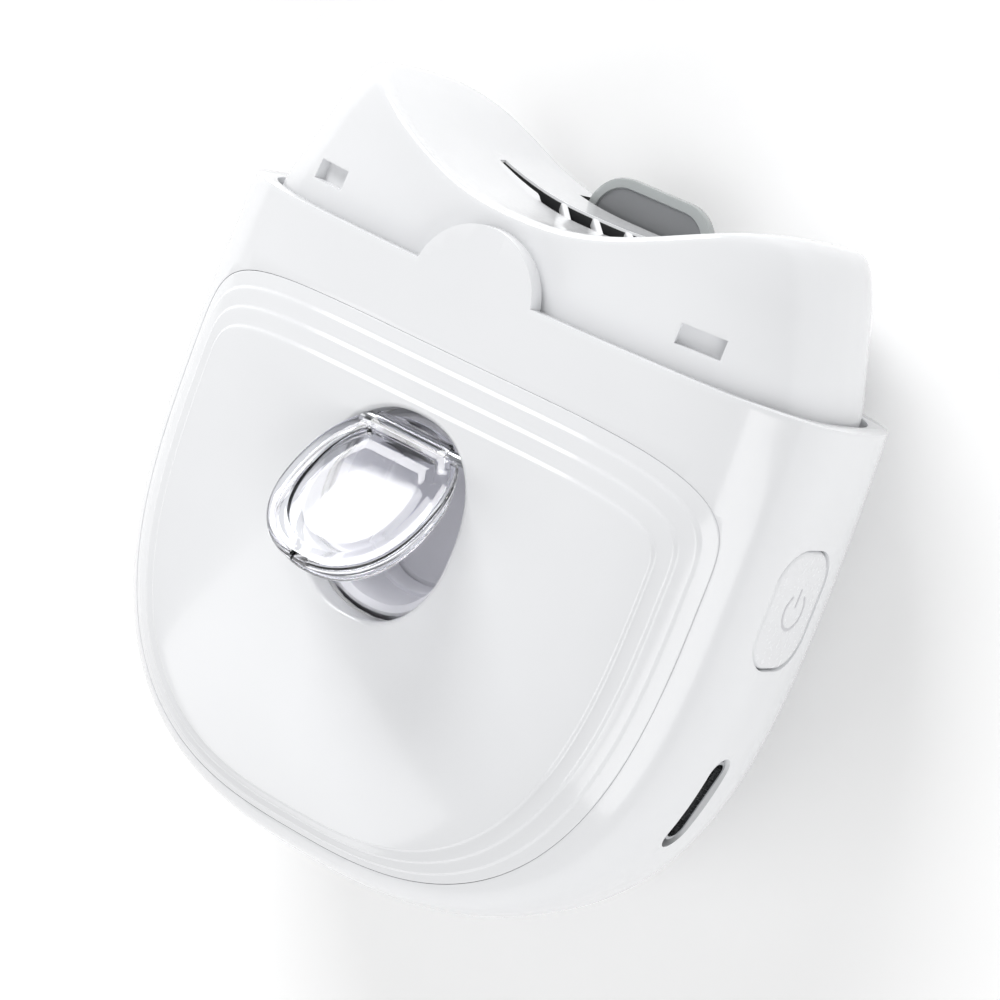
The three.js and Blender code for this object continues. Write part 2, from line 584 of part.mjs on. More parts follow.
function dustChamber() {
  const past = (t) => (t > 0 ? 1 : 0); // the inside runs out through the mouth
  const outline = (t) => [
    [CHAMBER_MOUTH + past(t), CHAMBER_THROAT + t], [CHAMBER_MOUTH + past(t), CHAMBER_FRONT - t],
    [CHAMBER_FLOOR + 3 + t * 0.4, CHAMBER_FRONT - t], [CHAMBER_FLOOR + t, CHAMBER_FRONT - 3 - t * 0.4],
    [CHAMBER_FLOOR + t, CHAMBER_BACK + t], [-10 - t * 0.4, CHAMBER_BACK + t],
    [CHAMBER_MOUTH - 1 - t * 0.4, CHAMBER_THROAT + t]];
  const outside = prism(outline(0), 'x', -CHAMBER_HALF_WIDTH, CHAMBER_HALF_WIDTH);
  const inside = prism(outline(CHAMBER_WALL), 'x', -CHAMBER_HALF_WIDTH + CHAMBER_WALL,
    CHAMBER_HALF_WIDTH - CHAMBER_WALL);
  return outside.subtract(inside).subtract(prism(portOutline(-0.6), 'z', CHAMBER_FRONT - 3, FAR));
}

function chamberSeal() {
  const z0 = CHAMBER_FRONT + 0.2;
  return prism(portOutline(1.4), 'z', z0, z0 + 0.6).subtract(prism(portOutline(0.1), 'z', z0 - 1, z0 + 2));
}

// ---------------------------------------------------------------- drive
const [idlerY, idlerZ] = drive.idler;
const [motorY, motorZ] = drive.motor;

// A spur gear along x whose first tooth, or first gap, faces down the drive line.
function gear(teeth, boreRadius, y, z, gapFirst) {
  const pitchRadius = GEAR_MODULE * teeth / 2;
  const [tip, root] = [pitchRadius + 0.8 * GEAR_MODULE, pitchRadius - 1.2 * GEAR_MODULE];
  const toothAngle = 2 * Math.PI / teeth;
  const start = Math.PI + drive.tilt + (gapFirst ? toothAngle / 2 : 0);
  const points = [];
  for (let i = 0; i < teeth; i += 1) {
    const centre = start + i * toothAngle;
    for (const [share, radius] of [[-0.3, root], [-0.11, tip], [0.11, tip], [0.3, root]]) {
      points.push([y + radius * Math.cos(centre + share * toothAngle),
        z + radius * Math.sin(centre + share * toothAngle)]);
    }
  }
  return prism(points, 'x', GEAR_X - GEAR_WIDTH / 2, GEAR_X + GEAR_WIDTH / 2)
    .subtract(bar('x', boreRadius, GEAR_X - FAR, GEAR_X + FAR, y, z, 16));
}

function cutterDrum() {
  const points = [];
  for (let i = 0; i < DRUM_FLUTES; i += 1) {
    const step = 2 * Math.PI / DRUM_FLUTES;
    for (const [share, depth] of [[0, 0], [0.25, 0], [0.45, DRUM_FLUTE_DEPTH], [0.9, DRUM_FLUTE_DEPTH]]) {
      const angle = (i + share) * step;
      points.push([CUTTER_Y + (DRUM_RADIUS - depth) * Math.cos(angle),
        CUTTER_Z + (DRUM_RADIUS - depth) * Math.sin(angle)]);
    }
  }
  return prism(points, 'x', -DRUM_HALF_LENGTH, DRUM_HALF_LENGTH)
    .subtract(bar('x', SHAFT_RADIUS + FIT_GAP, -FAR, FAR, CUTTER_Y, CUTTER_Z, 20));
}

const cutterShaft = () => bar('x', SHAFT_RADIUS, GEAR_X - GEAR_WIDTH / 2 - 0.7, BEARING_X + 1.6,
  CUTTER_Y, CUTTER_Z);
const bearing = (x) => tube('x', BEARING_RADIUS, SHAFT_RADIUS + FIT_GAP, x - BEARING_WIDTH / 2,
  x + BEARING_WIDTH / 2, CUTTER_Y, CUTTER_Z);
const idlerAxle = () => bar('x', IDLER_AXLE_RADIUS, GEAR_X - GEAR_WIDTH / 2 - 0.6, -BEARING_X + 0.8,
  idlerY, idlerZ, 16);

const motorScrewRows = [motorY - MOTOR_SCREW_PITCH, motorY + MOTOR_SCREW_PITCH];

function motorCan() {
  const round = bar('x', MOTOR_RADIUS, MOTOR_LEFT, MOTOR_RIGHT, motorY, motorZ, 32);
  const flats = block(-FAR, FAR, -FAR, FAR, motorZ - MOTOR_FLAT, motorZ + MOTOR_FLAT);
  let can = round.intersect(flats).subtract(bar('x', MOTOR_SHAFT_RADIUS + FIT_GAP, -FAR, MOTOR_LEFT + 5,
    motorY, motorZ, 16));
  for (const y of motorScrewRows) can = can.subtract(bar('x', 0.85, -FAR, MOTOR_LEFT + 2.5, y, motorZ, 12));
  return can;
}

// Plastic cap at the motor's rear, with its two tabs.
function motorEndCap() {
  const cap = bar('x', MOTOR_RADIUS - 0.4, MOTOR_RIGHT + 0.25, MOTOR_RIGHT + 1.9, motorY, motorZ, 28)
    .intersect(block(-FAR, FAR, -FAR, FAR, motorZ - MOTOR_FLAT + 0.3, motorZ + MOTOR_FLAT - 0.3));
  const tab = (y) => block(MOTOR_RIGHT + 1.5, MOTOR_RIGHT + 3, y - 0.4, y + 0.4, motorZ - 1, motorZ + 1);
  return cap.add(tab(motorY - 2.8)).add(tab(motorY + 2.8));
}

const motorShaft = () => bar('x', MOTOR_SHAFT_RADIUS, GEAR_X - GEAR_WIDTH / 2 - 0.6, MOTOR_LEFT + 4.7,
  motorY, motorZ, 16);

function motorBracket() {
  const [left, right] = [MOTOR_LEFT - 1.4, MOTOR_LEFT - 0.3];
  let plate = block(left, right, motorY - 5.6, motorY + 5.6, PLATE_TOP + PART_GAP, motorZ + 4.6);
  plate = plate.subtract(bar('x', 1.9, -FAR, FAR, motorY, motorZ, 20));
  for (const y of motorScrewRows) plate = plate.subtract(bar('x', 0.9, -FAR, FAR, y, motorZ, 12));
  return plate;
}

function motorScrew(y) {
  const face = MOTOR_LEFT - 1.4 - 0.1;
  const head = bar('x', 1.35, face - 0.8, face, y, motorZ, 14);
  return head.add(bar('x', 0.65, face - 0.2, MOTOR_LEFT + 2.2, y, motorZ, 10));
}

// ---------------------------------------------------------------- chassis
// A leg up from the plate to the cutter's bearing, with the idler's seat in its side.
function bearingArm(side) {
  const [left, right] = [side * BEARING_X - ARM_THICKNESS / 2, side * BEARING_X + ARM_THICKNESS / 2];
  const base = PLATE_TOP - 0.5;
  const ring = BEARING_RADIUS + 1.6;
  const outline = [[idlerY - 3, base], [idlerY - 3, idlerZ], [idlerY - 1.4, idlerZ + 2.6],
    [CUTTER_Y - 1, CUTTER_Z + ring], [CUTTER_Y + 1, CUTTER_Z - ring], [CUTTER_Y - 3, CUTTER_Z - ring - 2],
    [CUTTER_Y - 3, base]];
  return prism(outline, 'x', left, right).add(bar('x', ring, left, right, CUTTER_Y, CUTTER_Z, 24));
}

function motorCradle(x) {
  return block(x - 0.8, x + 0.8, motorY - 7.4, motorY + 5.2, PLATE_TOP - 0.5, motorZ - 1)
    .subtract(bar('x', MOTOR_RADIUS + PART_GAP, -FAR, FAR, motorY, motorZ, 32));
}

function chassis() {
  const halfWidth = BATTERY.halfWidth + 6;
  const under = PLATE_TOP - PLATE_THICKNESS;
  let frame = block(-halfWidth, halfWidth, BATTERY.foot + 0.5, CHAMBER_MOUTH, under, PLATE_TOP);
  frame = union(frame, bearingArm(-1), bearingArm(1), motorCradle(MOTOR_LEFT + 4), motorCradle(MOTOR_RIGHT - 3));
  const wall = BATTERY.halfWidth + PART_GAP;
  for (const side of [-1, 1]) {
    const middle = side * (wall + 0.55);
    frame = frame.add(block(middle - 0.55, middle + 0.55, BATTERY.foot + 6, BATTERY.top, PLATE_TOP - 0.5,
      BATTERY.back + 3.4));
  }
  frame = frame.add(block(-10, 10, BATTERY.top + PART_GAP, BATTERY.top + PART_GAP + 1.1, PLATE_TOP - 0.5,
    BATTERY.back + 3.4));
  for (const y of [BOARD.top - 14, BOARD.foot + 2.5]) {
    frame = frame.add(block(BOARD.left + 3.2, BOARD.left + 5.2, y - 1.2, y + 1.2, PLATE_TOP - 0.5,
      BOARD.back - PART_GAP));
  }
  for (const [x, y] of SCREW_PLACES) {
    frame = frame.add(bar('z', SCREW_BOSS_RADIUS, under, PLATE_TOP + SCREW_BOSS_RISE, x, y));
  }
  frame = frame.intersect(pebble(WALL + 0.6, 8));
  for (const [x, y] of SCREW_PLACES) {
    frame = frame.subtract(bar('z', SCREW_RADIUS + FIT_GAP, -FAR, FAR, x, y, 12));
  }
  const seatDepth = BEARING_RADIUS + FIT_GAP;
  frame = frame.subtract(bar('x', seatDepth, -BEARING_X - 2, -BEARING_X + 2, CUTTER_Y, CUTTER_Z, 24))
    .subtract(bar('x', seatDepth, BEARING_X - 2, BEARING_X + 2, CUTTER_Y, CUTTER_Z, 24));
  return frame.subtract(bar('x', IDLER_AXLE_RADIUS + FIT_GAP, -FAR, -BEARING_X + 2, idlerY, idlerZ, 16));
}

// ---------------------------------------------------------------- electrics
function battery() {
  const cell = roundedRectangle(2 * BATTERY.halfWidth, BATTERY.top - BATTERY.foot, 2.2);
  return extrudedShape(cell, 'z', BATTERY.back, BATTERY.front)
    .translate([0, (BATTERY.top + BATTERY.foot) / 2, 0]);
}

const batteryPad = () => block(-9, 9, BATTERY.foot + 4, BATTERY.top - 3, PLATE_TOP + 0.25, BATTERY.back - 0.25);

function circuitBoard() {
  const board = block(BOARD.left, BOARD.right, BOARD.foot, BOARD.top, BOARD.back, BOARD.front);
  const chips = [[2, 6, 3, 3], [4, 16, 4, 5], [2.5, 24, 3, 3], [7.5, 18, 2, 3]];
  return chips.reduce((sum, [right, down, width, height]) => sum.add(block(
    BOARD.left + right - width / 2, BOARD.left + right + width / 2,
    BOARD.top - down - height / 2, BOARD.top - down + height / 2, BOARD.front - 0.1, BOARD.front + 0.9)), board);
}

function tactSwitch() {
  return block(SWITCH_FACE - 3.4, SWITCH_FACE, BUTTON_Y - 3, BUTTON_Y + 3, BOARD.front + 0.25, BOARD.front + 4.4);
}

function switchPlunger() {
  const profile = [[0, 0], [1.7, 0], [1.7, 0.3], [1.2, 0.9], [0, 0.9]];
  const geometry = new THREE.LatheGeometry(profile.map(([r, h]) => new THREE.Vector2(r, h)), 16);
  return solid(geometry.rotateZ(-Math.PI / 2).translate(SWITCH_FACE + 0.2, BUTTON_Y, SIDE_Z));
}

function powerButton() {
  const outline = (grow) => roundedRectangle(BUTTON_LENGTH + 2 * grow, BUTTON_WIDTH + 2 * grow,
    BUTTON_CORNER + grow);
  const cap = atButton(outline(0), HALF_WIDTH - 3.8, HALF_WIDTH + 3).intersect(pebble(0, 0));
  const flange = atButton(outline(BUTTON_FLANGE), HALF_WIDTH - 4.3, HALF_WIDTH - 3.5);
  return cap.add(flange);
}

function usbShell() {
  const outside = atUsb(roundedRectangle(USB_WIDTH, USB_HEIGHT, USB_HEIGHT / 2 - 0.1), -USB_LENGTH - 0.5, -0.5);
  const inside = atUsb(roundedRectangle(USB_WIDTH - 2 * USB_SHEET, USB_HEIGHT - 2 * USB_SHEET,
    USB_HEIGHT / 2 - USB_SHEET - 0.1), -USB_LENGTH - 2, 1);
  return outside.subtract(inside);
}

function usbInsert() {
  const slack = 2 * (USB_SHEET + 0.15);
  const base = atUsb(roundedRectangle(USB_WIDTH - slack, USB_HEIGHT - slack, USB_HEIGHT / 2 - USB_SHEET - 0.3),
    -USB_LENGTH - 0.4, -USB_LENGTH + 1);
  return base.add(atUsb(roundedRectangle(6.6, 0.7, 0.3), -USB_LENGTH + 0.8, -1.4));
}

// ---------------------------------------------------------------- assembly
const grinder = new THREE.Group();
grinder.name = 'nail_grinder';
grinder.position.set(0, (SHOULDER_DROP + LOWER_LENGTH * FOOT_SHARE - HORN_TOP) / 2, REST_DEPTH);

function add(name, manifold, material) {
  const mesh = new THREE.Mesh(geometryOf(manifold), material);
  mesh.name = name;
  grinder.add(mesh);
}

add('main_housing', mainHousing(), glossWhite);
add('front_cover', frontCover(), glossWhite);
add('rear_cover', rearCover(), glossWhite);
SCREW_PLACES.forEach(([x, y], i) => add(`rear_screw_${i + 1}`, rearScrew(x, y), steel));

add('head_shell', headShell(), glossWhite);
add('fixed_blade', fixedBlade(), steel);
add('guard_flap', guardFlap(), smokeGrey);
add('guard_hinge_pin', guardPin(0, 0), steel);

add('dust_lid', dustLid(), clearPlastic);
add('lid_hinge_pin', lidPin(0, 0), steel);
add('dust_chamber', dustChamber(), linerGrey);
add('chamber_seal', chamberSeal(), rubber);

add('cutter_drum', cutterDrum(), darkSteel);
add('cutter_shaft', cutterShaft(), steel);
add('bearing_left', bearing(-BEARING_X), steel);
add('bearing_right', bearing(BEARING_X), steel);
add('cutter_gear', gear(CUTTER_TEETH, SHAFT_RADIUS + FIT_GAP, CUTTER_Y, CUTTER_Z, true), acetal);
add('idler_gear', gear(IDLER_TEETH, IDLER_AXLE_RADIUS + FIT_GAP, idlerY, idlerZ, false), acetal);
add('idler_axle', idlerAxle(), steel);
add('motor_pinion', gear(PINION_TEETH, MOTOR_SHAFT_RADIUS + FIT_GAP, motorY, motorZ, true), acetal);
add('motor_shaft', motorShaft(), steel);
add('motor_can', motorCan(), darkSteel);
add('motor_end_cap', motorEndCap(), blackPlastic);
add('motor_bracket', motorBracket(), steel);
add('motor_screw_1', motorScrew(motorScrewRows[0]), steel);
add('motor_screw_2', motorScrew(motorScrewRows[1]), steel);
add('chassis', chassis(), chassisGrey);

add('battery_cell', battery(), cellBlue);
add('battery_pad', batteryPad(), foamGrey);
add('circuit_board', circuitBoard(), boardGreen);
add('tact_switch', tactSwitch(), blackPlastic);
add('switch_plunger', switchPlunger(), rubber);
add('power_button', powerButton(), softWhite);
add('usb_shell', usbShell(), steel);
add('usb_insert', usbInsert(), blackPlastic);

export default grinder;
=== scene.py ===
import math

import bpy
from mathutils import Matrix, Vector


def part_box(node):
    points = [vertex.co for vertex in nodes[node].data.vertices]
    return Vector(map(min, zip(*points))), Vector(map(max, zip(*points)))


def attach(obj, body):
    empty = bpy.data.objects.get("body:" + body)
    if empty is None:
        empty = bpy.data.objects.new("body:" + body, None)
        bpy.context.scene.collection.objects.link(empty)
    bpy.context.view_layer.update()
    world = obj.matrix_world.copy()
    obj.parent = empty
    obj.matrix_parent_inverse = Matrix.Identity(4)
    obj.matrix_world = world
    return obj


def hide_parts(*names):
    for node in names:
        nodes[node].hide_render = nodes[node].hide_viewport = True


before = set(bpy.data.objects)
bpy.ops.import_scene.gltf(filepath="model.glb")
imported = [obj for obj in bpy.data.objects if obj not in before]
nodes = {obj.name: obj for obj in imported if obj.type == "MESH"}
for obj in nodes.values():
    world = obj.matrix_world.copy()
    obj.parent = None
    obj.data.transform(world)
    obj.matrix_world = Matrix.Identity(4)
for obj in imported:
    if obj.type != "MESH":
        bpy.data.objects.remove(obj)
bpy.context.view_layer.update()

# ---------------------------------------------------------------- sizes, in millimetres
MM = 0.001
HALF_WIDTH = 33.5  # widest half-width of the pebble body
RIM_TAPER = 0.7
SHOULDER_DROP = 18.0  # rim to the widest section
LOWER_LENGTH = 39.3  # widest section to the foot
HALF_DEPTH = 16.9
REST_DEPTH = 16.0  # mid-depth to the flat that the body lies on
PLAN_POWER = 2.8
SECTION_POWER = 2.95
FOOT_FULLNESS = 0.6  # below 1 the depth closes later than the width towards the foot
WALL = 1.8
PART_GAP = 0.3
PARTING_LINE = 0.035  # width of the line that shows between the covers and the housing

COVER_TOP = -6.3
COVER_SIDE_MARGIN = 3.8
COVER_FOOT_MARGIN = 3.0
COVER_SHOULDER_POWER = 4.4
PAD_TOP = -12.0
PAD_SIDE_MARGIN = 8.5
PAD_FOOT_MARGIN = 6.0
TERRACES = 3
TERRACE_RISE = 0.28

PORT_Y = -22.2  # centre of the oval dust port
PORT_HALF_WIDTH = 7.9
PORT_HALF_HEIGHT = 9.6
PORT_POWER = 2.3

TONGUE_RADIUS = 6.45
TONGUE_RISE = 5.2

HEAD_HALF_WIDTH = 30.3
HEAD_HALF_DEPTH = 14.7
HEAD_BACK = 13.9
HEAD_SKIRT = 4.0
HEAD_WALL = 1.6
# A height, and how far the side and the depth have come in there.
HEAD_TAPER = [
    (-4.0, 0, 0), (0.0, 0, 0), (3.5, 1, 0.1), (7.0, 2.2, 0.2),
    (10.0, 3.2, 0.3), (12.8, 4.6, 0.6), (14.3, 6, 1.2)]
HORN_TOP = 14.3
SADDLE_LOW = 6.9
SADDLE_RISE = 7.8
SADDLE_HALF_SPAN = 26.5
SADDLE_SKIN = 2.0
LIP_RADIUS = 0.9
CATCH_X = 20.8
CATCH_Y = 3.05

SLOT_HALF_LENGTH = 12.6
SLOT_NEAR = 0.9  # front edge of the slot's wide middle
SLOT_FAR = -0.9
SLOT_WIDE = 6.0  # half-length of the wide middle
SLOT_END_NEAR = 0.1  # front edge of the slot's narrow ends
SLOT_TIP = -0.35  # depth at which both edges meet
SLOT_TIP_LENGTH = 0.7
SLOT_SPREAD = 26.0  # half-width of the lip over which the slot's length is shared out
SHELF_RISE = 1.0  # how far the saddle stands up behind the slot
SHELF_HALF_LENGTH = 13.0
RIB_X = (-2.0, 1.7, 5.4)  # each rib's place on the slot's front edge
RIB_WIDTH = 0.8
RIB_SLANT = 2.35
RIB_THICKNESS = 0.9

GUARD_HALF = 7.1
GUARD_CORNER = 4.0
GUARD_MID = -10.8  # depth of the flap's middle plane
GUARD_RECESS = 0.52  # from the middle plane to the sunk faces inside the rim

FLUTES = 12
DRUM_BORE = 1.15
DRUM_TWIST = 70  # degrees that a cutting edge winds along the drum

SIDE_Z = 1.3  # depth of the button and of the charging port
BUTTON_Y = -16.8
BUTTON_LENGTH = 11.4
BUTTON_WIDTH = 9.0
BUTTON_CORNER = 3.4
BUTTON_GAP = 0.14
BUTTON_THICKNESS = 4.3
MARK_RADIUS = 1.75
MARK_OPENING = 38  # half the ring's opening, in degrees
MARK_STROKE = 0.28
USB_Y = -36.4
USB_LENGTH = 8.9
USB_HEIGHT = 3.2
USB_GAP = 0.08

LID_PIN_Y = PORT_Y + PORT_HALF_HEIGHT - 2.2
LID_ANGLE = 42  # degrees open at rest
LID_GAP = 0.45
LID_STEP = 0.55
LID_THICKNESS = 2.75
LID_LIP = 0.95
LID_WINDOW_MARGIN = 1.9
LID_WINDOW_DEPTH = 0.7
LID_BARREL_RADIUS = 0.95
LID_BARREL_HALF = 4.2
LID_BORE_RADIUS = 0.65
LID_POINTS = 160

REAR_SCREWS = ("rear_screw_1", "rear_screw_2", "rear_screw_3", "rear_screw_4")
REAR_MIDDLE_Y = -24.0
SCREW_WELL_RADIUS = 2.1
SCREW_WELL_DEPTH = 1.3
SCREW_HEAD_RADIUS = 1.8
SCREW_HEAD_FACE = 0.25  # how far its face is sunk from the rear cover's flat
SHANK_RADIUS = 1.0

CAMERA_AZIMUTH = 28.63
CAMERA_ELEVATION = 10.37
CAMERA_ROLL = 20.98
CAMERA_AIM_Y = -20
CAMERA_DISTANCE = 303.85
CAMERA_LENS = 116.58
CAMERA_SHIFT = (0.0105, -0.004)

AROUND = 224  # points round a shell
# Height of the body frame's origin, at the rim and mid-depth, in the row frame.
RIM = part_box("main_housing")[1].y / MM - TONGUE_RISE


def at(x, y, z):
    """A point of the body frame, in metres in the row frame."""
    return Vector((x, y + RIM, z + REST_DEPTH)) * MM


def middle_of(low, high):
    """The middle of a node's box, from its corners in the row frame to a point of the body frame."""
    return (low.x + high.x) / 2 / MM, (low.y + high.y) / 2 / MM - RIM, (low.z + high.z) / 2 / MM - REST_DEPTH


# ---------------------------------------------------------------- modelling by operators
def start_fresh():
    """Leaves nothing selected before the next primitive."""
    bpy.ops.object.select_all(action="DESELECT")


def newest(name):
    piece = bpy.context.active_object
    piece.name = piece.data.name = name
    return piece


def skin(name, rings):
    """A closed surface through rings: each row of a grid is laid along one, and the seam is joined."""
    start_fresh()
    columns = len(rings[0])
    bpy.ops.mesh.primitive_grid_add(x_subdivisions=columns, y_subdivisions=len(rings) - 1, size=1)
    piece = newest(name)
    laid = [ring[i % columns] for ring in rings for i in range(columns + 1)]
    piece.data.vertices.foreach_set("co", [value for point in laid for value in point])
    join_seams(piece)
    return piece


def join_seams(piece):
    """Doubled points are joined and the faces turned outwards."""
    start_fresh()
    piece.select_set(True)
    bpy.context.view_layer.objects.active = piece
    bpy.ops.object.mode_set(mode="EDIT")
    bpy.ops.mesh.select_all(action="SELECT")
    bpy.ops.mesh.remove_doubles(threshold=0.002 * MM)
    bpy.ops.mesh.normals_make_consistent(inside=False)
    bpy.ops.object.mode_set(mode="OBJECT")


def slab(name, outline, push):
    """A flat outline, filled and extruded."""
    start_fresh()
    bpy.ops.mesh.primitive_circle_add(vertices=len(outline), radius=1, fill_type="NGON")
    piece = newest(name)
    piece.data.vertices.foreach_set("co", [value for point in outline for value in point])
    bpy.ops.object.mode_set(mode="EDIT")
    bpy.ops.mesh.select_all(action="SELECT")
    bpy.ops.mesh.extrude_region_move(TRANSFORM_OT_translate={"value": push})
    bpy.ops.mesh.select_all(action="SELECT")
    bpy.ops.mesh.normals_make_consistent(inside=False)
    bpy.ops.object.mode_set(mode="OBJECT")
    return piece


def block(name, low, high):
    """A box between two corners of the body frame."""
    start_fresh()
    low, high = at(*low), at(*high)
    bpy.ops.mesh.primitive_cube_add(size=1, location=(low + high) / 2, scale=high - low)
    piece = newest(name)
    bpy.ops.object.transform_apply(location=True, rotation=True, scale=True)
    return piece


def rod(name, radius, start, end, sides=48):
    """A round bar from one point of the body frame to another."""
    start_fresh()
    start, end = at(*start), at(*end)
    turn = (end - start).to_track_quat("Z", "Y").to_euler()
    bpy.ops.mesh.primitive_cylinder_add(
        vertices=sides, radius=radius * MM, depth=(end - start).length,
        location=(start + end) / 2, rotation=turn)
    piece = newest(name)
    bpy.ops.object.transform_apply(location=True, rotation=True, scale=True)
    return piece


def duplicate(piece, name):
    """A copy with its own mesh."""
    copy = piece.copy()
    copy.data = piece.data.copy()
    copy.name = copy.data.name = name
    bpy.context.scene.collection.objects.link(copy)
    return copy


def apply(piece, kind, **settings):
    """Adds a modifier and applies it."""
    modifier = piece.modifiers.new(kind.title(), kind)
    for name, value in settings.items():
        setattr(modifier, name, value)
    bpy.context.view_layer.objects.active = piece
    bpy.ops.object.modifier_apply(modifier=modifier.name)


def combine(piece, tool, operation):
    apply(piece, "BOOLEAN", object=tool, operation=operation, solver="EXACT")
    bpy.data.objects.remove(tool)
    return piece


def carve(piece, tool):
    return combine(piece, tool, "DIFFERENCE")


def soften(piece, width, segments=2, angle=35):
    """Rounds the edges that turn by more than an angle."""
    apply(piece, "BEVEL", width=width * MM, segments=segments, limit_method="ANGLE",
          angle_limit=math.radians(angle), harden_normals=False, use_clamp_overlap=True)


def smooth(piece, angle):
    start_fresh()
    piece.select_set(True)
    bpy.context.view_layer.objects.active = piece
    bpy.ops.object.shade_smooth_by_angle(angle=math.radians(angle))


# ---------------------------------------------------------------- forms of the shells
def superellipse(angle, power):
    """The point at a polar angle on a unit superellipse."""
    c, s = math.cos(angle), math.sin(angle)
    reach = (abs(c) ** power + abs(s) ** power) ** (-1 / power)
    return c * reach, s * reach


def turns(count=AROUND):
    return [2 * math.pi * (i + 0.5) / count for i in range(count)]


def body_section(y, inset=0.0):
    """Half-width and half-depth of the pebble at a height."""
    widest, deepest = HALF_WIDTH - inset, HALF_DEPTH - inset
    if y > -SHOULDER_DROP:
        rise = min((y + SHOULDER_DROP) / SHOULDER_DROP, 1)
        return widest - RIM_TAPER * rise ** 2, deepest
    drop = min((-SHOULDER_DROP - y) / (LOWER_LENGTH - inset), 1)
    shrink = max(1 - drop ** PLAN_POWER, 0) ** (1 / PLAN_POWER)
    return widest * shrink, deepest * shrink ** FOOT_FULLNESS


def section_ring(y, width, depth, back):
    ring = []
    for angle in turns():
        cx, cz = superellipse(angle, SECTION_POWER)
        ring.append(at(width * cx, y, max(depth * cz, -back)))
    return ring


def pebble_rings(inset, top_rows):
    """Rings of the pebble from its open top to the closed foot."""
    rows = list(top_rows) + [-SHOULDER_DROP + 1e-3]
    # Even steps of a quarter turn, then closer ones where the foot flattens.
    quarter = [0.5 * math.pi * i / 44 for i in range(1, 43)] + [1.53, 1.55, 1.563, 1.5695]
    rows += [-SHOULDER_DROP - (LOWER_LENGTH - inset) * superellipse(a, PLAN_POWER)[1] for a in quarter]
    rings = [section_ring(y, *body_section(y, inset), REST_DEPTH - inset) for y in rows]
    foot = at(0, -SHOULDER_DROP - (LOWER_LENGTH - inset), 0)
    return rings + [[foot] * AROUND]


def skin_height(x, y, inset=0.0):
    """Front face of the pebble over a point of its plan."""
    width, depth = body_section(y, inset)
    share = min(abs(x) / max(width, 1e-6), 1)
    return depth * (1 - share ** SECTION_POWER) ** (1 / SECTION_POWER)


def side_reach(y, z):
    """Side face of the pebble at a height and depth."""
    width, depth = body_section(y)
    return width * (1 - min(abs(z) / depth, 1) ** SECTION_POWER) ** (1 / SECTION_POWER)


def cover_outline(top, side, foot, shrink=0.0):
    """Squarer shoulders above the widest section, and the body's own plan below it."""
    outline = []
    for angle in turns():
        upper = math.sin(angle) > 0
        cx, cy = superellipse(angle, COVER_SHOULDER_POWER if upper else PLAN_POWER)
        reach = top - shrink + SHOULDER_DROP if upper else LOWER_LENGTH - foot - shrink
        outline.append(((HALF_WIDTH - side - shrink) * cx, -SHOULDER_DROP + reach * cy))
    return outline


def port_outline(grow, count=AROUND):
    outline = []
    for angle in turns(count):
        cx, cy = superellipse(angle, PORT_POWER)
        outline.append(((PORT_HALF_WIDTH + grow) * cx, PORT_Y + (PORT_HALF_HEIGHT + grow) * cy))
    return outline


def mix(first, second, share):
    return [(a + (c - a) * share, b + (d - b) * share) for (a, b), (c, d) in zip(first, second)]


def rounded_rectangle(length, width, corner, count=12):
    """Outline points of a rectangle with round corners, anticlockwise."""
    points = []
    for quarter in range(4):
        sx, sy = [(1, 1), (-1, 1), (-1, -1), (1, -1)][quarter]
        for i in range(count + 1):
            angle = math.pi / 2 * (quarter + i / count)
            points.append((sx * (length / 2 - corner) + corner * math.cos(angle),
                           sy * (width / 2 - corner) + corner * math.sin(angle)))
    return points


# ---------------------------------------------------------------- materials
def linear(code):
    """An sRGB hex colour as linear RGBA."""
    channels = [int(code[i:i + 2], 16) / 255 for i in (1, 3, 5)]
    return tuple(c / 12.92 if c <= 0.04045 else ((c + 0.055) / 1.055) ** 2.4 for c in channels) + (1.0,)


def add(tree, kind, values=None, links=None, **properties):
    """Adds a node with its properties, socket values and incoming links."""
    made = tree.nodes.new(kind)
    for name, value in properties.items():
        setattr(made, name, value)
    for socket, value in (values or {}).items():
        made.inputs[socket].default_value = value
    for socket, source in (links or {}).items():
        tree.links.new(source, made.inputs[socket])
    return made


def per_mm(size):
    """The texture scale whose features are about a size in millimetres."""
    return 1 / (size * MM)


def blank(name):
    material = bpy.data.materials.new(name)
    material.use_nodes = True
    material.node_tree.nodes.clear()
    return material


def moulded(name, pale, dark, roughness, spread, grain, bump, cloud=9.0, **shader):
    """Injection-moulded plastic: its tone drifts slowly, and a fine grain from the tool sits in its gloss.

    Grain and cloud are sizes in millimetres.
    """
    material = blank(name)
    tree = material.node_tree
    place = add(tree, "ShaderNodeTexCoord").outputs["Object"]
    drift = add(tree, "ShaderNodeTexNoise", {"Scale": per_mm(cloud), "Detail": 2.0}, {"Vector": place})
    fine = add(tree, "ShaderNodeTexNoise", {"Scale": per_mm(grain), "Detail": 3.0}, {"Vector": place})
    colours = {"Color1": linear(dark), "Color2": linear(pale)}
    tone = add(tree, "ShaderNodeMixRGB", colours, {"Fac": drift.outputs["Fac"]})
    limits = {"From Min": 0.35, "From Max": 0.65, "To Min": roughness - spread, "To Max": roughness + spread}
    gloss = add(tree, "ShaderNodeMapRange", limits, {"Value": fine.outputs["Fac"]})
    links = {"Base Color": tone.outputs["Color"], "Roughness": gloss.outputs["Result"]}
    if bump:
        relief = add(tree, "ShaderNodeBump", {"Strength": bump, "Distance": 0.02 * MM},
                     {"Height": fine.outputs["Fac"]})
        links["Normal"] = relief.outputs["Normal"]
    surface = add(tree, "ShaderNodeBsdfPrincipled", shader, links)
    add(tree, "ShaderNodeOutputMaterial", links={"Surface": surface.outputs["BSDF"]})
    return material


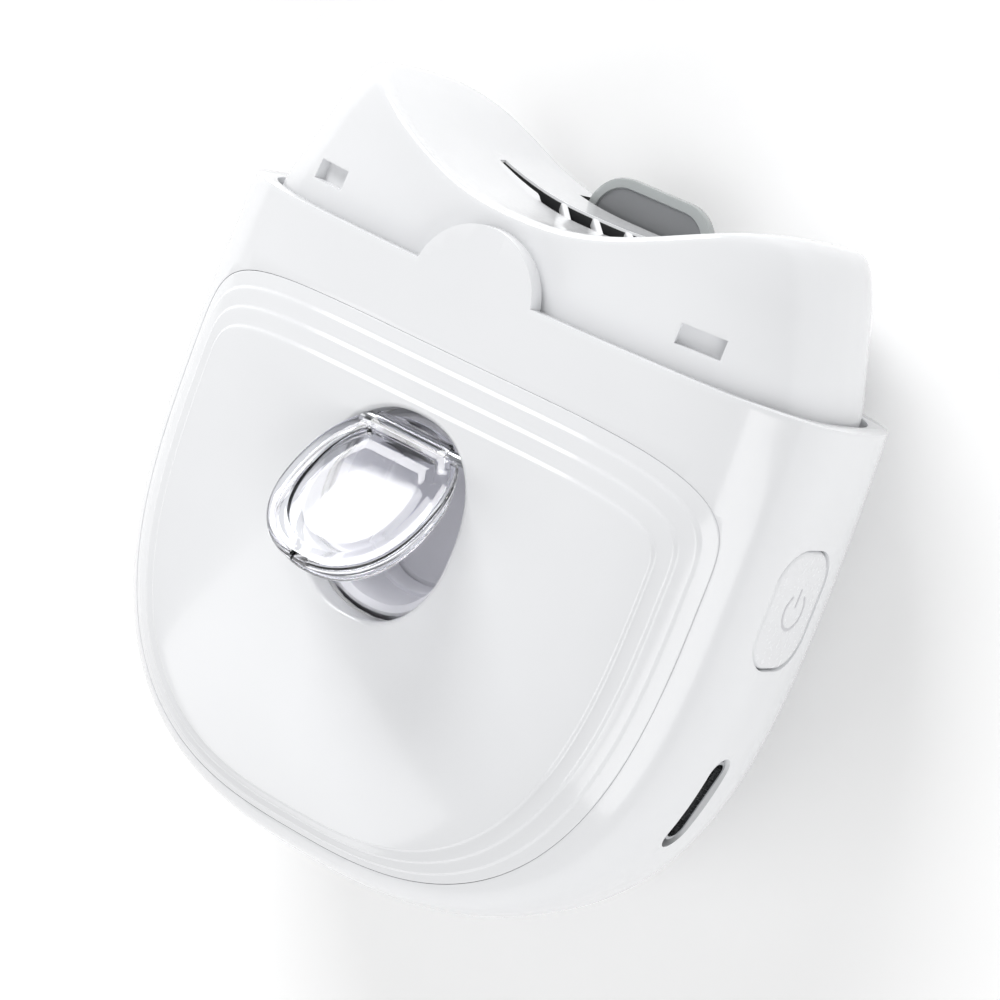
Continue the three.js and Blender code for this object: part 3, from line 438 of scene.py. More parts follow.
def metal(name, pale, dark, roughness, lay, stretch, bump):
    """Worked metal: a directional pattern of fine lines in its colour, gloss and relief.

    The lay is the spacing of the lines in millimetres, and stretch draws them out along an axis.
    """
    material = blank(name)
    tree = material.node_tree
    place = add(tree, "ShaderNodeTexCoord").outputs["Object"]
    drawn = add(tree, "ShaderNodeMapping", {"Scale": stretch}, {"Vector": place})
    lines = add(tree, "ShaderNodeTexNoise", {"Scale": per_mm(lay), "Detail": 4.0},
                {"Vector": drawn.outputs["Vector"]})
    strength = lines.outputs["Fac"]
    tone = add(tree, "ShaderNodeMixRGB", {"Color1": linear(dark), "Color2": linear(pale)}, {"Fac": strength})
    limits = {"To Min": roughness * 0.7, "To Max": roughness * 1.4}
    gloss = add(tree, "ShaderNodeMapRange", limits, {"Value": strength})
    relief = add(tree, "ShaderNodeBump", {"Strength": bump, "Distance": 0.01 * MM}, {"Height": strength})
    links = {"Base Color": tone.outputs["Color"], "Roughness": gloss.outputs["Result"],
             "Normal": relief.outputs["Normal"]}
    surface = add(tree, "ShaderNodeBsdfPrincipled", {"Metallic": 1.0}, links)
    add(tree, "ShaderNodeOutputMaterial", links={"Surface": surface.outputs["BSDF"]})
    return material


FINISHES = {
    # Polished ABS: opaque white with a clear gloss, so that broad reflections roll over it.
    "gloss_white_abs": moulded(
        "polished_white_abs", "#E9EAEC", "#E5E6E8",
        roughness=0.17, spread=0.02, grain=0.5, bump=0.03,
        **{"IOR": 1.54, "Coat Weight": 0.25, "Coat Roughness": 0.05}),
    # Satin ABS of the button: the same white, less gloss.
    "button_abs": moulded(
        "satin_white_abs", "#E6E7E9", "#E2E3E5",
        roughness=0.26, spread=0.02, grain=0.5, bump=0,
        **{"IOR": 1.54, "Coat Weight": 0.25, "Coat Roughness": 0.1}),
    # Smoked polycarbonate: grey all through, its polished face lets a little light in.
    "smoke_plastic": moulded(
        "smoked_polycarbonate", "#8B8D8F", "#818386",
        roughness=0.16, spread=0.02, grain=0.5, bump=0.02,
        **{"IOR": 1.585, "Transmission Weight": 0.12}),
    # Clear polycarbonate: water-clear with a high index, bright at its edges.
    "clear_plastic": moulded(
        "clear_polycarbonate", "#FCFCFF", "#F6F7FC",
        roughness=0.03, spread=0.008, grain=0.6, bump=0.01,
        **{"IOR": 1.5, "Transmission Weight": 1.0}),
    # Moulded polypropylene liner: waxy white, a little blue.
    "liner_plastic": moulded(
        "white_polypropylene", "#F2F2F7", "#ECECF2",
        roughness=0.36, spread=0.04, grain=0.3, bump=0.08,
        **{"IOR": 1.49}),
    # Glass-filled nylon: dark, matt and slightly mottled by its fibres.
    "chassis_plastic": moulded(
        "glass_filled_nylon", "#595C60", "#4A4D50",
        roughness=0.55, spread=0.08, grain=0.25, bump=0.3, cloud=1.2,
        **{"IOR": 1.53}),
    # Ground stainless steel, with its grinding lines across the part.
    "steel": metal(
        "ground_stainless_steel", "#C9CBCE", "#A4A6A9",
        roughness=0.24, lay=0.12, stretch=(0.15, 1.0, 1.0), bump=0.25),
    # Hardened tool steel, oil-dark.
    "dark_steel": metal(
        "hardened_tool_steel", "#8E9093", "#66686B",
        roughness=0.32, lay=0.1, stretch=(1.0, 0.2, 1.0), bump=0.3),
    # Natural acetal gears: creamy and slightly translucent.
    "acetal": moulded(
        "natural_acetal", "#ECE8DA", "#E2DDCC",
        roughness=0.36, spread=0.05, grain=0.3, bump=0.08, cloud=2.0,
        **{"IOR": 1.48}),
    # Solder mask over fibreglass: green with the weave just showing.
    "circuit_board": moulded(
        "solder_mask_on_fibreglass", "#24694A", "#1B5238",
        roughness=0.34, spread=0.06, grain=0.35, bump=0.3, cloud=0.8,
        **{"IOR": 1.55}),
    # Moulded nylon in black.
    "black_plastic": moulded(
        "black_nylon", "#0B0B0C", "#060607",
        roughness=0.5, spread=0.05, grain=0.25, bump=0, cloud=2.0,
        **{"IOR": 1.53}),
    # Shrink film on the cell: glossy blue, drawn tight.
    "cell_wrap": moulded(
        "shrink_film", "#3F72AB", "#35639A",
        roughness=0.22, spread=0.05, grain=1.2, bump=0.2, cloud=3.0,
        **{"IOR": 1.5}),
    # Closed-cell foam: dull, with fine open pores on its cut face.
    "foam": moulded(
        "closed_cell_foam", "#3A3B40", "#26272B",
        roughness=0.9, spread=0.05, grain=0.35, bump=0.8, cloud=0.5,
        **{"IOR": 1.4}),
    # Natural silicone rubber: milky white and dull with a dusty bloom.
    "rubber": moulded(
        "silicone_rubber", "#E2E2E4", "#D8D8DA",
        roughness=0.55, spread=0.08, grain=0.3, bump=0.2, cloud=1.5,
        **{"IOR": 1.42}),
}
# Thin rim of the guard, painted paler than the smoked plastic: a painted highlight that stands in for the
# light leaving through its edge.
PAINTED_EDGE_GLOW_FINISH = moulded(
    "smoked_polycarbonate_painted_edge_glow", "#B4B8B8", "#ABB0B0",
    roughness=0.14, spread=0.02, grain=0.5, bump=0.02,
    **{"IOR": 1.585, "Transmission Weight": 0.1})
# Grey of the lines of the button's mark: painted shade that stands in for the shade in the mark's sunk
# grooves.
PAINTED_GROOVE_SHADE_FINISH = moulded(
    "painted_groove_shade_grey", "#CBCBCE", "#C3C3C7",
    roughness=0.4, spread=0.04, grain=0.2, bump=0.05, cloud=1.0,
    **{"IOR": 1.5})

# Tool steel painted near black: painted shade that stands in for the shade inside the slot, so the cutting
# edges stay dark between thin bright lines.
PAINTED_SLOT_SHADE_DRUM_FINISH = metal(
    "tool_steel_painted_slot_shade", "#4A4B4F", "#161719",
    roughness=0.3, lay=0.15, stretch=(0.3, 1.0, 1.0), bump=0.3)
# Painted shade on the inside of the head's shell: dark and dull, standing in for the shade that falls inside
# it.
PAINTED_SHADE_INSIDE_FINISH = moulded(
    "painted_shade_inside_head", "#232426", "#17181A",
    roughness=0.6, spread=0.06, grain=0.4, bump=0.1, cloud=3.0,
    **{"IOR": 1.5})

NODE_FINISH = {
    "lid_hinge_pin": "steel", "guard_hinge_pin": "steel", "chamber_seal": "rubber", "cutter_shaft": "steel",
    "bearing_left": "steel", "bearing_right": "steel", "cutter_gear": "acetal", "idler_gear": "acetal",
    "idler_axle": "steel", "motor_pinion": "acetal", "motor_shaft": "steel", "motor_can": "dark_steel",
    "motor_end_cap": "black_plastic", "motor_bracket": "steel", "motor_screw_1": "steel",
    "motor_screw_2": "steel", "chassis": "chassis_plastic", "battery_cell": "cell_wrap",
    "battery_pad": "foam", "circuit_board": "circuit_board", "tact_switch": "black_plastic",
    "switch_plunger": "rubber", "usb_shell": "steel", "usb_insert": "black_plastic", "fixed_blade": "steel",
}


def dress(piece, body, finish, *stands_for, angle=35):
    """Smooths a finished piece, gives it its finish, and fixes it to its body."""
    smooth(piece, angle)
    if not piece.data.materials:
        piece.data.materials.append(FINISHES[finish])
    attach(piece, body)
    if stands_for:
        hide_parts(*stands_for)


# ---------------------------------------------------------------- body shells
def outline_slab(name, outline, low, high):
    return slab(name, [at(x, y, low) for x, y in outline], (0, 0, (high - low) * MM))


def button_outline(grow):
    return [(y + BUTTON_Y, z + SIDE_Z) for y, z in
            rounded_rectangle(BUTTON_LENGTH + 2 * grow, BUTTON_WIDTH + 2 * grow, BUTTON_CORNER + grow)]


def usb_turn():
    """How far the charging port's axis is turned from +X, following the outline."""
    return math.atan2(body_section(USB_Y - 0.5)[0] - body_section(USB_Y + 0.5)[0], 1.0)


def make_housing():
    """The pebble inside and out, cut open at the rim, the covers, the button and the charging port."""
    top_rows = [7, 5, 3, 1.5, 0.5, -0.5, -2, -4, -6, -8, -10, -12, -14, -16]
    inner = pebble_rings(WALL, top_rows)
    housing = skin("housing", inner[::-1] + pebble_rings(0, top_rows))
    above_rim = block("above_rim", (-40, 0, -20), (40, 12, 25))
    tongue_y = TONGUE_RISE - TONGUE_RADIUS
    tongue = rod("tongue", TONGUE_RADIUS, (0, tongue_y, 5), (0, tongue_y, 30), 96)
    carve(housing, carve(above_rim, tongue))
    panel = cover_outline(COVER_TOP, COVER_SIDE_MARGIN, COVER_FOOT_MARGIN, PART_GAP - PARTING_LINE)
    carve(housing, outline_slab("front_opening", panel, 3, 30))
    carve(housing, outline_slab("rear_opening", panel, -30, -3))
    hole = [at(HALF_WIDTH - 6, y, z) for y, z in button_outline(BUTTON_GAP)]
    carve(housing, slab("button_hole", hole, (9 * MM, 0, 0)))
    carve(housing, port_tool("usb_hole", USB_GAP, -5, 4))
    soften(housing, 0.2)
    dress(housing, "body", "gloss_white_abs", "main_housing")


def port_tool(name, grow, start, end):
    """The charging port's slot, along the outline's normal."""
    outline = rounded_rectangle(USB_LENGTH + 2 * grow, USB_HEIGHT + 2 * grow, USB_HEIGHT / 2 + grow - 0.05)
    turn = Matrix.Rotation(-usb_turn(), 4, "Z")
    place = Matrix.Translation(at(body_section(USB_Y)[0], USB_Y, SIDE_Z))
    ring = [place @ turn @ (Vector((start, along, up)) * MM) for along, up in outline]
    return slab(name, ring, turn @ Vector(((end - start) * MM, 0, 0)))


def make_front_cover():
    """Rings from the cover's edge over the terraces and the pad, through the dust port and back under."""
    outer = cover_outline(COVER_TOP, COVER_SIDE_MARGIN, COVER_FOOT_MARGIN, PART_GAP)
    pad = cover_outline(PAD_TOP, PAD_SIDE_MARGIN, PAD_FOOT_MARGIN)
    full = TERRACES * TERRACE_RISE
    rings = []

    def ring(plan, raise_by, inset=0.0):
        rings.append([at(x, y, skin_height(x, y, inset) + raise_by) for x, y in plan])

    ring(outer, -1.2)
    for share, drop in [(0.0, 0.12), (0.004, 0.05), (0.012, 0.01), (0.03, 0.0)]:
        ring(mix(outer, pad, share), -drop)
    run = 0.085  # share of the way from edge to pad that one step's slope takes
    climb = [(0.0, 0.0), (0.2, 0.04), (0.45, 0.25), (0.65, 0.62), (0.8, 0.86), (1.0, 0.98), (1.25, 1.0)]
    for i in range(TERRACES):
        edge = (i + 1) / TERRACES - 0.02
        for step, rise in climb:
            ring(mix(outer, pad, edge + (step - 1) * run), (i + rise) * TERRACE_RISE)
        if i < TERRACES - 1:
            ring(mix(outer, pad, edge + 0.5 / TERRACES), (i + 1) * TERRACE_RISE)
    port = port_outline(0)
    rounding = 0.55  # radius of the port's edge
    for share in [0.08, 0.2, 0.35, 0.5, 0.65, 0.8, 0.92]:
        ring(mix(pad, port_outline(rounding), share), full)
    for i in range(7):
        angle = math.pi / 2 * i / 6
        ring(port_outline(rounding * (1 - math.sin(angle))), full - rounding * (1 - math.cos(angle)))
    for share in [0, 0.2, 0.6, 1]:
        ring(mix(port, outer, share), 0, WALL)
    rings.append(rings[0])
    dress(skin("front_shell", rings), "body", "gloss_white_abs", "front_cover", angle=50)


def make_rear_cover():
    """Rings over the inside and the flat outside, with a well for each screw."""
    outer = cover_outline(COVER_TOP, COVER_SIDE_MARGIN, COVER_FOOT_MARGIN, PART_GAP)
    centre = [(0.0, REAR_MIDDLE_Y)] * AROUND
    rings = []

    def ring(plan, lift, inset=0.0):
        rings.append([at(x, y, -min(skin_height(x, y, inset), REST_DEPTH - inset) + lift) for x, y in plan])

    for share in [1, 0.5, 0]:
        ring(mix(outer, centre, share), 0, WALL)
    for share, lift in [(0.0, 0.2), (0.003, 0.08), (0.01, 0.02), (0.02, 0.0)]:
        ring(mix(outer, centre, share), lift)
    for i in range(1, 19):
        ring(mix(outer, centre, 0.02 + 0.98 * i / 18), 0)
    cover = skin("rear_shell", rings)
    for name in REAR_SCREWS:
        low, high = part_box(name)
        x, y, _ = middle_of(low, high)
        bottom = (x, y, -REST_DEPTH + SCREW_WELL_DEPTH)
        carve(cover, rod("well", SCREW_WELL_RADIUS, (x, y, -REST_DEPTH - 2), bottom))
    soften(cover, 0.15)
    dress(cover, "body", "gloss_white_abs", "rear_cover", angle=50)


# ---------------------------------------------------------------- head
def read_table(table, y):
    """Smooth reading between the rows of a table of heights."""
    y = min(max(y, table[0][0]), table[-1][0])
    k = next(i for i in range(len(table) - 1) if y <= table[i + 1][0])
    before, a, b, after = table[max(k - 1, 0)], table[k], table[k + 1], table[min(k + 2, len(table) - 1)]
    t = (y - a[0]) / (b[0] - a[0])
    values = []
    for c in (1, 2):
        slope_a = (b[c] - before[c]) / (b[0] - before[0]) * (b[0] - a[0])
        slope_b = (after[c] - a[c]) / (after[0] - a[0]) * (b[0] - a[0])
        values.append((2 * t ** 3 - 3 * t ** 2 + 1) * a[c] + (t ** 3 - 2 * t ** 2 + t) * slope_a
                      + (3 * t ** 2 - 2 * t ** 3) * b[c] + (t ** 3 - t ** 2) * slope_b)
    return values


def head_point(angle, y, inset=0.0):
    """The head's outside at an angle and a height, or a face set in from it."""
    side_in, depth_in = read_table(HEAD_TAPER, y)
    cx, cz = superellipse(angle, SECTION_POWER)
    width, depth = HEAD_HALF_WIDTH - side_in - inset, HEAD_HALF_DEPTH - depth_in - inset
    return width * cx, max(depth * cz, -HEAD_BACK + inset)


def saddle_height(x, z):
    """Low in the middle, rising to the horns, and a little higher behind the slot."""
    share = min(abs(x) / SADDLE_HALF_SPAN, 1) ** 1.25
    shelf = max(1 - (x / SHELF_HALF_LENGTH) ** 2, 0)
    behind = min(max((SLOT_NEAR - z) / (SLOT_NEAR - SLOT_FAR), 0), 1)
    bowl = SADDLE_RISE * share * share * (3 - 2 * share)
    return SADDLE_LOW + bowl + SHELF_RISE * shelf * behind * behind * (3 - 2 * behind)


def lip_height(angle, inset, drop):
    """Where the wall meets the saddle, found by closing in on it."""
    y = HORN_TOP - drop
    for _ in range(60):
        x, z = head_point(angle, y, inset)
        y += 0.5 * (min(HORN_TOP, saddle_height(x, z)) - drop - y)
    return y


def slot_point(x, front):
    """The slot's edge, level with a point of the lip."""
    sx = SLOT_HALF_LENGTH * max(-1, min(1, x / SLOT_SPREAD))
    end = max(0, (abs(sx) - SLOT_HALF_LENGTH + SLOT_TIP_LENGTH) / SLOT_TIP_LENGTH)
    close = math.sqrt(max(0, 1 - end * end))
    if not front:
        return sx, SLOT_TIP + (SLOT_FAR - SLOT_TIP) * close
    step = min(max((SLOT_WIDE + 0.5 - abs(sx)), 0), 1)
    return sx, SLOT_TIP + (SLOT_END_NEAR - SLOT_TIP) * close + (SLOT_NEAR - SLOT_END_NEAR) * step


def head_face(x):
    """Front face of the head at the catches' height."""
    return (HEAD_HALF_DEPTH - 0.1) * (1 - (x / (HEAD_HALF_WIDTH - 1)) ** SECTION_POWER) ** (1 / SECTION_POWER)


def make_head():
    """Columns up the outside, round the lip, over the saddle, through the slot and down the inside."""
    wall_steps, lip_steps, saddle_steps, inside_steps = 30, 8, 28, 4
    columns = []
    for angle in turns():
        lip_y = lip_height(angle, 0, 0)
        lip = head_point(angle, lip_y)
        slot = slot_point(lip[0], math.sin(angle) > 0)
        reach = math.dist(lip, slot)
        column = []
        for i in range(wall_steps + 1):
            y = -HEAD_SKIRT + (lip_y - LIP_RADIUS + HEAD_SKIRT) * i / wall_steps
            x, z = head_point(angle, y)
            column.append(Vector((x, y, z)))
        low = column[-1]
        x, z = (a + (b - a) * LIP_RADIUS / reach for a, b in zip(lip, slot))
        high = Vector((x, saddle_height(x, z), z))
        corner = Vector((lip[0], lip_y, lip[1]))
        for i in range(1, lip_steps + 1):
            t = i / lip_steps
            column.append(low * (1 - t) ** 2 + corner * 2 * t * (1 - t) + high * t * t)
        for i in range(1, saddle_steps + 1):
            share = LIP_RADIUS / reach + (1 - LIP_RADIUS / reach) * i / saddle_steps
            x, z = (a + (b - a) * share for a, b in zip(lip, slot))
            column.append(Vector((x, saddle_height(x, z), z)))
        x, z = slot
        edge_y = saddle_height(x, z)
        column.append(Vector((x, edge_y - 0.25, z)))
        column.append(Vector((x, edge_y - SADDLE_SKIN, z)))
        inner_y = lip_height(angle, HEAD_WALL, SADDLE_SKIN)
        inner = head_point(angle, inner_y, HEAD_WALL)
        for i in range(1, inside_steps + 1):
            x, z = (a + (b - a) * i / inside_steps for a, b in zip(slot, inner))
            column.append(Vector((x, min(saddle_height(x, z) - SADDLE_SKIN, HORN_TOP - SADDLE_SKIN), z)))
        for i in range(1, inside_steps + 1):
            y = inner_y + (-HEAD_SKIRT - inner_y) * i / inside_steps
            x, z = head_point(angle, y, HEAD_WALL)
            column.append(Vector((x, y, z)))
        column.append(column[0])
        columns.append([at(*p) for p in column])
    head = skin("head", [list(row) for row in zip(*columns)])
    for side in (-1, 1):
        catch = block("catch", (-2.15, -0.95, -1.1), (2.15, 0.95, 5))
        slope = math.atan2(head_face(CATCH_X - 0.5) - head_face(CATCH_X + 0.5), 1)
        place = Matrix.Translation(at(side * CATCH_X, CATCH_Y, head_face(CATCH_X)))
        catch.data.transform(place @ Matrix.Rotation(side * slope, 4, "Y") @ Matrix.Translation(-at(0, 0, 0)))
        carve(head, catch)
    carve(head, block("guard_room", (-7.4, 2.9, -12.0), (7.4, 30, -8.9)))
    soften(head, 0.12, 2, 50)
    head.data.materials.append(FINISHES["gloss_white_abs"])
    head.data.materials.append(PAINTED_SHADE_INSIDE_FINISH)
    # Faces inside the wall and under the saddle take the painted shade.
    for face in head.data.polygons:
        place = face.center / MM - Vector((0, RIM, REST_DEPTH))
        angle = math.atan2(place.z / HEAD_HALF_DEPTH, place.x / HEAD_HALF_WIDTH)
        reach = head_point(angle, place.y, HEAD_WALL - 0.2)
        within = math.hypot(place.x, place.z) < math.hypot(*reach)
        below = place.y < saddle_height(place.x, place.z) - 0.5
        face.material_index = 1 if within and below and place.y > 0 else 0
    dress(head, "head", "gloss_white_abs", "head_shell", angle=50)


def make_ribs():
    """Slanted ribs over the slot, each following the saddle at its place."""
    for i, x in enumerate(RIB_X):
        near = (x, SLOT_NEAR + 0.25)
        far = (x - RIB_SLANT, SLOT_FAR - 0.25)
        half = RIB_WIDTH / 2
        outline = [(near[0] - half, near[1]), (near[0] + half, near[1]),
                   (far[0] + half, far[1]), (far[0] - half, far[1])]
        ring = [at(px, saddle_height(px, pz) - 0.95, pz) for px, pz in outline]
        rib = slab("slot_rib_%d" % (i + 1), ring, (0, RIB_THICKNESS * MM, 0))
        soften(rib, 0.15, 3)
        dress(rib, "head", "gloss_white_abs")


def guard_outline(inset):
    """The flap's outline: square at its foot, round at its two upper corners."""
    low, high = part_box("guard_flap")
    foot, top = low.y / MM - RIM + inset, high.y / MM - RIM - inset
    half, corner = GUARD_HALF - inset, GUARD_CORNER - inset
    outline = [(-half, foot), (half, foot)]
    for side, start in ((1, 0), (-1, math.pi / 2)):
        for i in range(17):
            angle = start + math.pi / 2 * i / 16
            outline.append((side * (half - corner) + corner * math.cos(angle),
                            top - corner + corner * math.sin(angle)))
    return outline


def make_guard():
    """Rings over both faces, each with a raised rim round a sunk middle."""
    # How far in from the outline, and how far from the middle plane.
    front = [(0.0, 0.4), (0.09, 0.61), (0.3, 0.7), (0.95, 0.7), (1.05, GUARD_RECESS)]
    section = [(inset, -rise) for inset, rise in front[::-1]] + front
    outlines = [[at(x, y, GUARD_MID + rise) for x, y in guard_outline(inset)] for inset, rise in section]
    middle = sum(y for _, y in guard_outline(0)) / len(guard_outline(0))
    poles = [[at(0, middle, GUARD_MID + rise)] * len(outlines[0]) for rise in (-GUARD_RECESS, GUARD_RECESS)]
    guard = skin("guard", [poles[0]] + outlines + [poles[1]])
    guard.data.materials.append(PAINTED_EDGE_GLOW_FINISH)
    guard.data.materials.append(FINISHES["smoke_plastic"])
    # The rim's faces take the painted edge highlight; the sunk faces keep the smoked plastic's own grey.
    for face in guard.data.polygons:
        depth = abs(face.center.z / MM - REST_DEPTH - GUARD_MID)
        face.material_index = 1 if abs(depth - GUARD_RECESS) < 0.02 and abs(face.normal.z) > 0.9 else 0
    dress(guard, "guard", "smoke_plastic", "guard_flap")


def make_cutter():
    """Fluted drum, its cutting edges wound along it."""
    low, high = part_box("cutter_drum")
    half = (high.x - low.x) / 2 / MM
    _, cy, cz = middle_of(low, high)
    # How far across a flute, and the radius there.
    profile = [
        (0.0, 3.5), (0.12, 3.5), (0.2, 3.42), (0.34, 2.75),
        (0.5, 2.6), (0.7, 2.7), (0.88, 3.15), (0.97, 3.46)]

    def ring(x, scale, twist, radius=None):
        points = []
        for flute in range(FLUTES):
            for share, reach in profile:
                angle = 2 * math.pi * (flute + share) / FLUTES + twist
                r = radius if radius else reach * scale
                points.append(at(x, cy + r * math.cos(angle), cz + r * math.sin(angle)))
        return points

    full_twist = math.radians(DRUM_TWIST)
    steps = 26
    rings = [ring(-half, 1, 0, DRUM_BORE), ring(-half, 0.95, 0)]
    for i in range(steps + 1):
        rings.append(ring(-half + 0.15 + (2 * half - 0.3) * i / steps, 1, full_twist * i / steps))
    rings += [ring(half, 0.95, full_twist), ring(half, 1, full_twist, DRUM_BORE), rings[0]]
    drum = skin("cutter", rings)
    # The drum's near-black colour is painted shade of the slot's inside.
    drum.data.materials.append(PAINTED_SLOT_SHADE_DRUM_FINISH)
    dress(drum, "cutter", "dark_steel", "cutter_drum")


# ---------------------------------------------------------------- dust liner
def make_liner():
    """The chamber's box, its corners rounded, with the dust bowl let into its front opening."""
    box = duplicate(nodes["dust_chamber"], "dust_liner")
    box.parent = None
    join_seams(box)
    apply(box, "DECIMATE", decimate_type="DISSOLVE", angle_limit=math.radians(2))
    soften(box, 0.5, 3)
    # How far each ring is grown from the port's outline, and its depth.
    outside = [
        (-5.0, 4.2), (-2.2, 4.4), (-1.2, 6.0), (-0.9, 12.0),
        (-0.75, 13.7), (-0.4, 13.75), (-0.4, 14.3), (-0.7, 14.4)]
    inside = [
        (-1.35, 14.0), (-1.5, 11.0), (-1.8, 9.0), (-2.0, 8.6), (-2.35, 8.75),
        (-2.6, 8.5), (-2.9, 7.0), (-3.6, 5.9), (-4.8, 5.4), (-6.0, 5.3)]
    rings = [[at(x, y, z) for x, y in port_outline(grow)] for grow, z in outside + inside]
    under, floor = ([at(0, PORT_Y, table[end][1])] * AROUND for table, end in ((outside, 0), (inside, -1)))
    bowl = skin("dust_bowl", [under] + rings + [floor])
    carve(bowl, block("bowl_mouth", (-5.5, -17, 7.5), (5.5, -8, 12.5)))
    carve(bowl, block("bowl_slit", (-3.5, PORT_Y - 8.2, 6.4), (2.0, PORT_Y - 4.5, 6.9)))
    soften(bowl, 0.1)
    start_fresh()
    bowl.select_set(True)
    box.select_set(True)
    bpy.context.view_layer.objects.active = box
    bpy.ops.object.join()
    box.data.materials.clear()
    dress(box, "body", "liner_plastic", "dust_chamber")


# ---------------------------------------------------------------- dust lid
# Heights that follow from the pebble's front face.
PAD_FACE = skin_height(0, PORT_Y) + TERRACES * TERRACE_RISE
LID_PIN_Z = PAD_FACE - 0.8


def make_lid():
    """The lid is lofted shut in its port, its hinge edge is cut to a barrel, and it is swung open."""
    foot, lip = PAD_FACE - LID_THICKNESS, PAD_FACE - LID_LIP
    plug = -LID_GAP - LID_STEP
    edge = -LID_GAP - LID_WINDOW_MARGIN
    window_top, window_floor = LID_PIN_Y - 1.6, PAD_FACE - LID_WINDOW_DEPTH

    def ring(grow, z, below=None):
        return [at(x, min(y, below) if below else y, z) for x, y in port_outline(grow, LID_POINTS)]

    def shrunk(outline, share, z, centre_y):
        return [at(x * share, centre_y + (y - centre_y) * share, z) for x, y in outline]

    base = port_outline(plug - 0.3, LID_POINTS)
    rings = [shrunk(base, share, foot, PORT_Y) for share in (0, 0.5, 0.9)]
    # Up the plug's side, which has two shallow grooves, and out over the step.
    rings += [ring(grow, z) for grow, z in (
        (plug - 0.3, foot), (plug - 0.1, foot + 0.06), (plug, foot + 0.2), (plug, foot + 0.5),
        (plug - 0.22, foot + 0.58), (plug - 0.22, foot + 0.82), (plug, foot + 0.9), (plug, lip - 0.3),
        (plug - 0.2, lip - 0.24), (plug - 0.2, lip - 0.05), (plug + 0.1, lip), (-LID_GAP - 0.12, lip))]
    # Up the lip's side, which has one, to the face.
    rings += [ring(grow, z) for grow, z in (
        (-LID_GAP, lip + 0.1), (-LID_GAP, lip + 0.36), (-LID_GAP - 0.16, lip + 0.42),
        (-LID_GAP - 0.16, lip + 0.56), (-LID_GAP - 0.04, lip + 0.62), (-LID_GAP - 0.04, PAD_FACE - 0.18),
        (-LID_GAP - 0.14, PAD_FACE - 0.05), (-LID_GAP - 0.3, PAD_FACE))]
    # Down into the sunk window, which stops short of the hinge.
    rings += [ring(edge + out, z, window_top + out) for out, z in (
        (0.25, PAD_FACE), (0.08, PAD_FACE - 0.06), (0, PAD_FACE - 0.2), (-0.05, window_floor + 0.15),
        (-0.25, window_floor))]
    floor = [(x, min(y, window_top - 0.25)) for x, y in port_outline(edge - 0.25, LID_POINTS)]
    rings += [shrunk(floor, share, window_floor, PORT_Y - 1) for share in (0.8, 0.4, 0)]
    lid = skin("lid", rings)
    barrel = rod("barrel", LID_BARREL_RADIUS, (-20, LID_PIN_Y, LID_PIN_Z), (20, LID_PIN_Y, LID_PIN_Z))
    carve(lid, carve(block("above_barrel", (-15, LID_PIN_Y, LID_PIN_Z), (15, 0, 30)), barrel))
    for side in (-1, 1):
        left, right = sorted((side * LID_BARREL_HALF, side * 15))
        carve(lid, block("shoulder", (left, LID_PIN_Y - 0.9, 5), (right, 0, 30)))
    latch_y = PORT_Y - PORT_HALF_HEIGHT
    carve(lid, block("latch_notch", (-0.9, latch_y - 1, PAD_FACE - 1.15), (0.9, latch_y + 0.95, 30)))
    carve(lid, rod("pin_bore", LID_BORE_RADIUS, (-15, LID_PIN_Y, LID_PIN_Z), (15, LID_PIN_Y, LID_PIN_Z), 32))
    pin = at(0, LID_PIN_Y, LID_PIN_Z)
    swing = Matrix.Rotation(math.radians(-LID_ANGLE), 4, "X")
    lid.data.transform(Matrix.Translation(pin) @ swing @ Matrix.Translation(-pin))
    dress(lid, "lid", "clear_plastic", "dust_lid", angle=40)


# ---------------------------------------------------------------- button
def make_button():
    """A flange, and a cap whose face follows the housing's side."""
    def ring(grow, x=None, drop=0.0, share=1.0):
        points = []
        for y, z in button_outline(grow):
            y, z = BUTTON_Y + (y - BUTTON_Y) * share, SIDE_Z + (z - SIDE_Z) * share
            points.append(at(side_reach(y, z) - drop if x is None else x, y, z))
        return points

    inner = HALF_WIDTH - BUTTON_THICKNESS
    rings = [ring(0, inner, share=0), ring(0.5, inner), ring(0.8, inner + 0.2), ring(0.8, inner + 0.7)]
    rings += [ring(0.0, inner + 0.8)]
    rings += [ring(0, drop=0.45), ring(-0.07, drop=0.22), ring(-0.25, drop=0.06), ring(-0.5, drop=0.02)]
    rings += [ring(-0.5, share=s) for s in (0.85, 0.7, 0.55, 0.4, 0.25, 0.1, 0)]
    dress(skin("button", rings), "button", "button_abs", "power_button")


def make_mark():
    """Power mark: an open ring and an upright bar, lying in the button's face."""
    def stroke(name, path, width):
        """A bar of even width along a path."""
        left, right = [], []
        for i, (y, z) in enumerate(path):
            ahead, behind = path[min(i + 1, len(path) - 1)], path[max(i - 1, 0)]
            dy, dz = ahead[0] - behind[0], ahead[1] - behind[1]
            length = math.hypot(dy, dz)
            left.append((y - dz / length * width / 2, z + dy / length * width / 2))
            right.append((y + dz / length * width / 2, z - dy / length * width / 2))
        outline = left + right[::-1]
        ring = [at(side_reach(BUTTON_Y + y, SIDE_Z + z) - 0.2, BUTTON_Y + y, SIDE_Z + z) for y, z in outline]
        return slab(name, ring, (0.22 * MM, 0, 0))

    angles = [math.radians(MARK_OPENING + (360 - 2 * MARK_OPENING) * i / 60) for i in range(61)]
    arc = [(MARK_RADIUS * math.cos(a), MARK_RADIUS * math.sin(a)) for a in angles]
    bar = [(0.35 + 0.2 * i, 0.0) for i in range(10)]
    for name, path in (("power_mark_ring", arc), ("power_mark_bar", bar)):
        piece = stroke(name, path, MARK_STROKE)
        # The mark's grey is painted groove shade.
        piece.data.materials.append(PAINTED_GROOVE_SHADE_FINISH)
        dress(piece, "button", "button_abs")


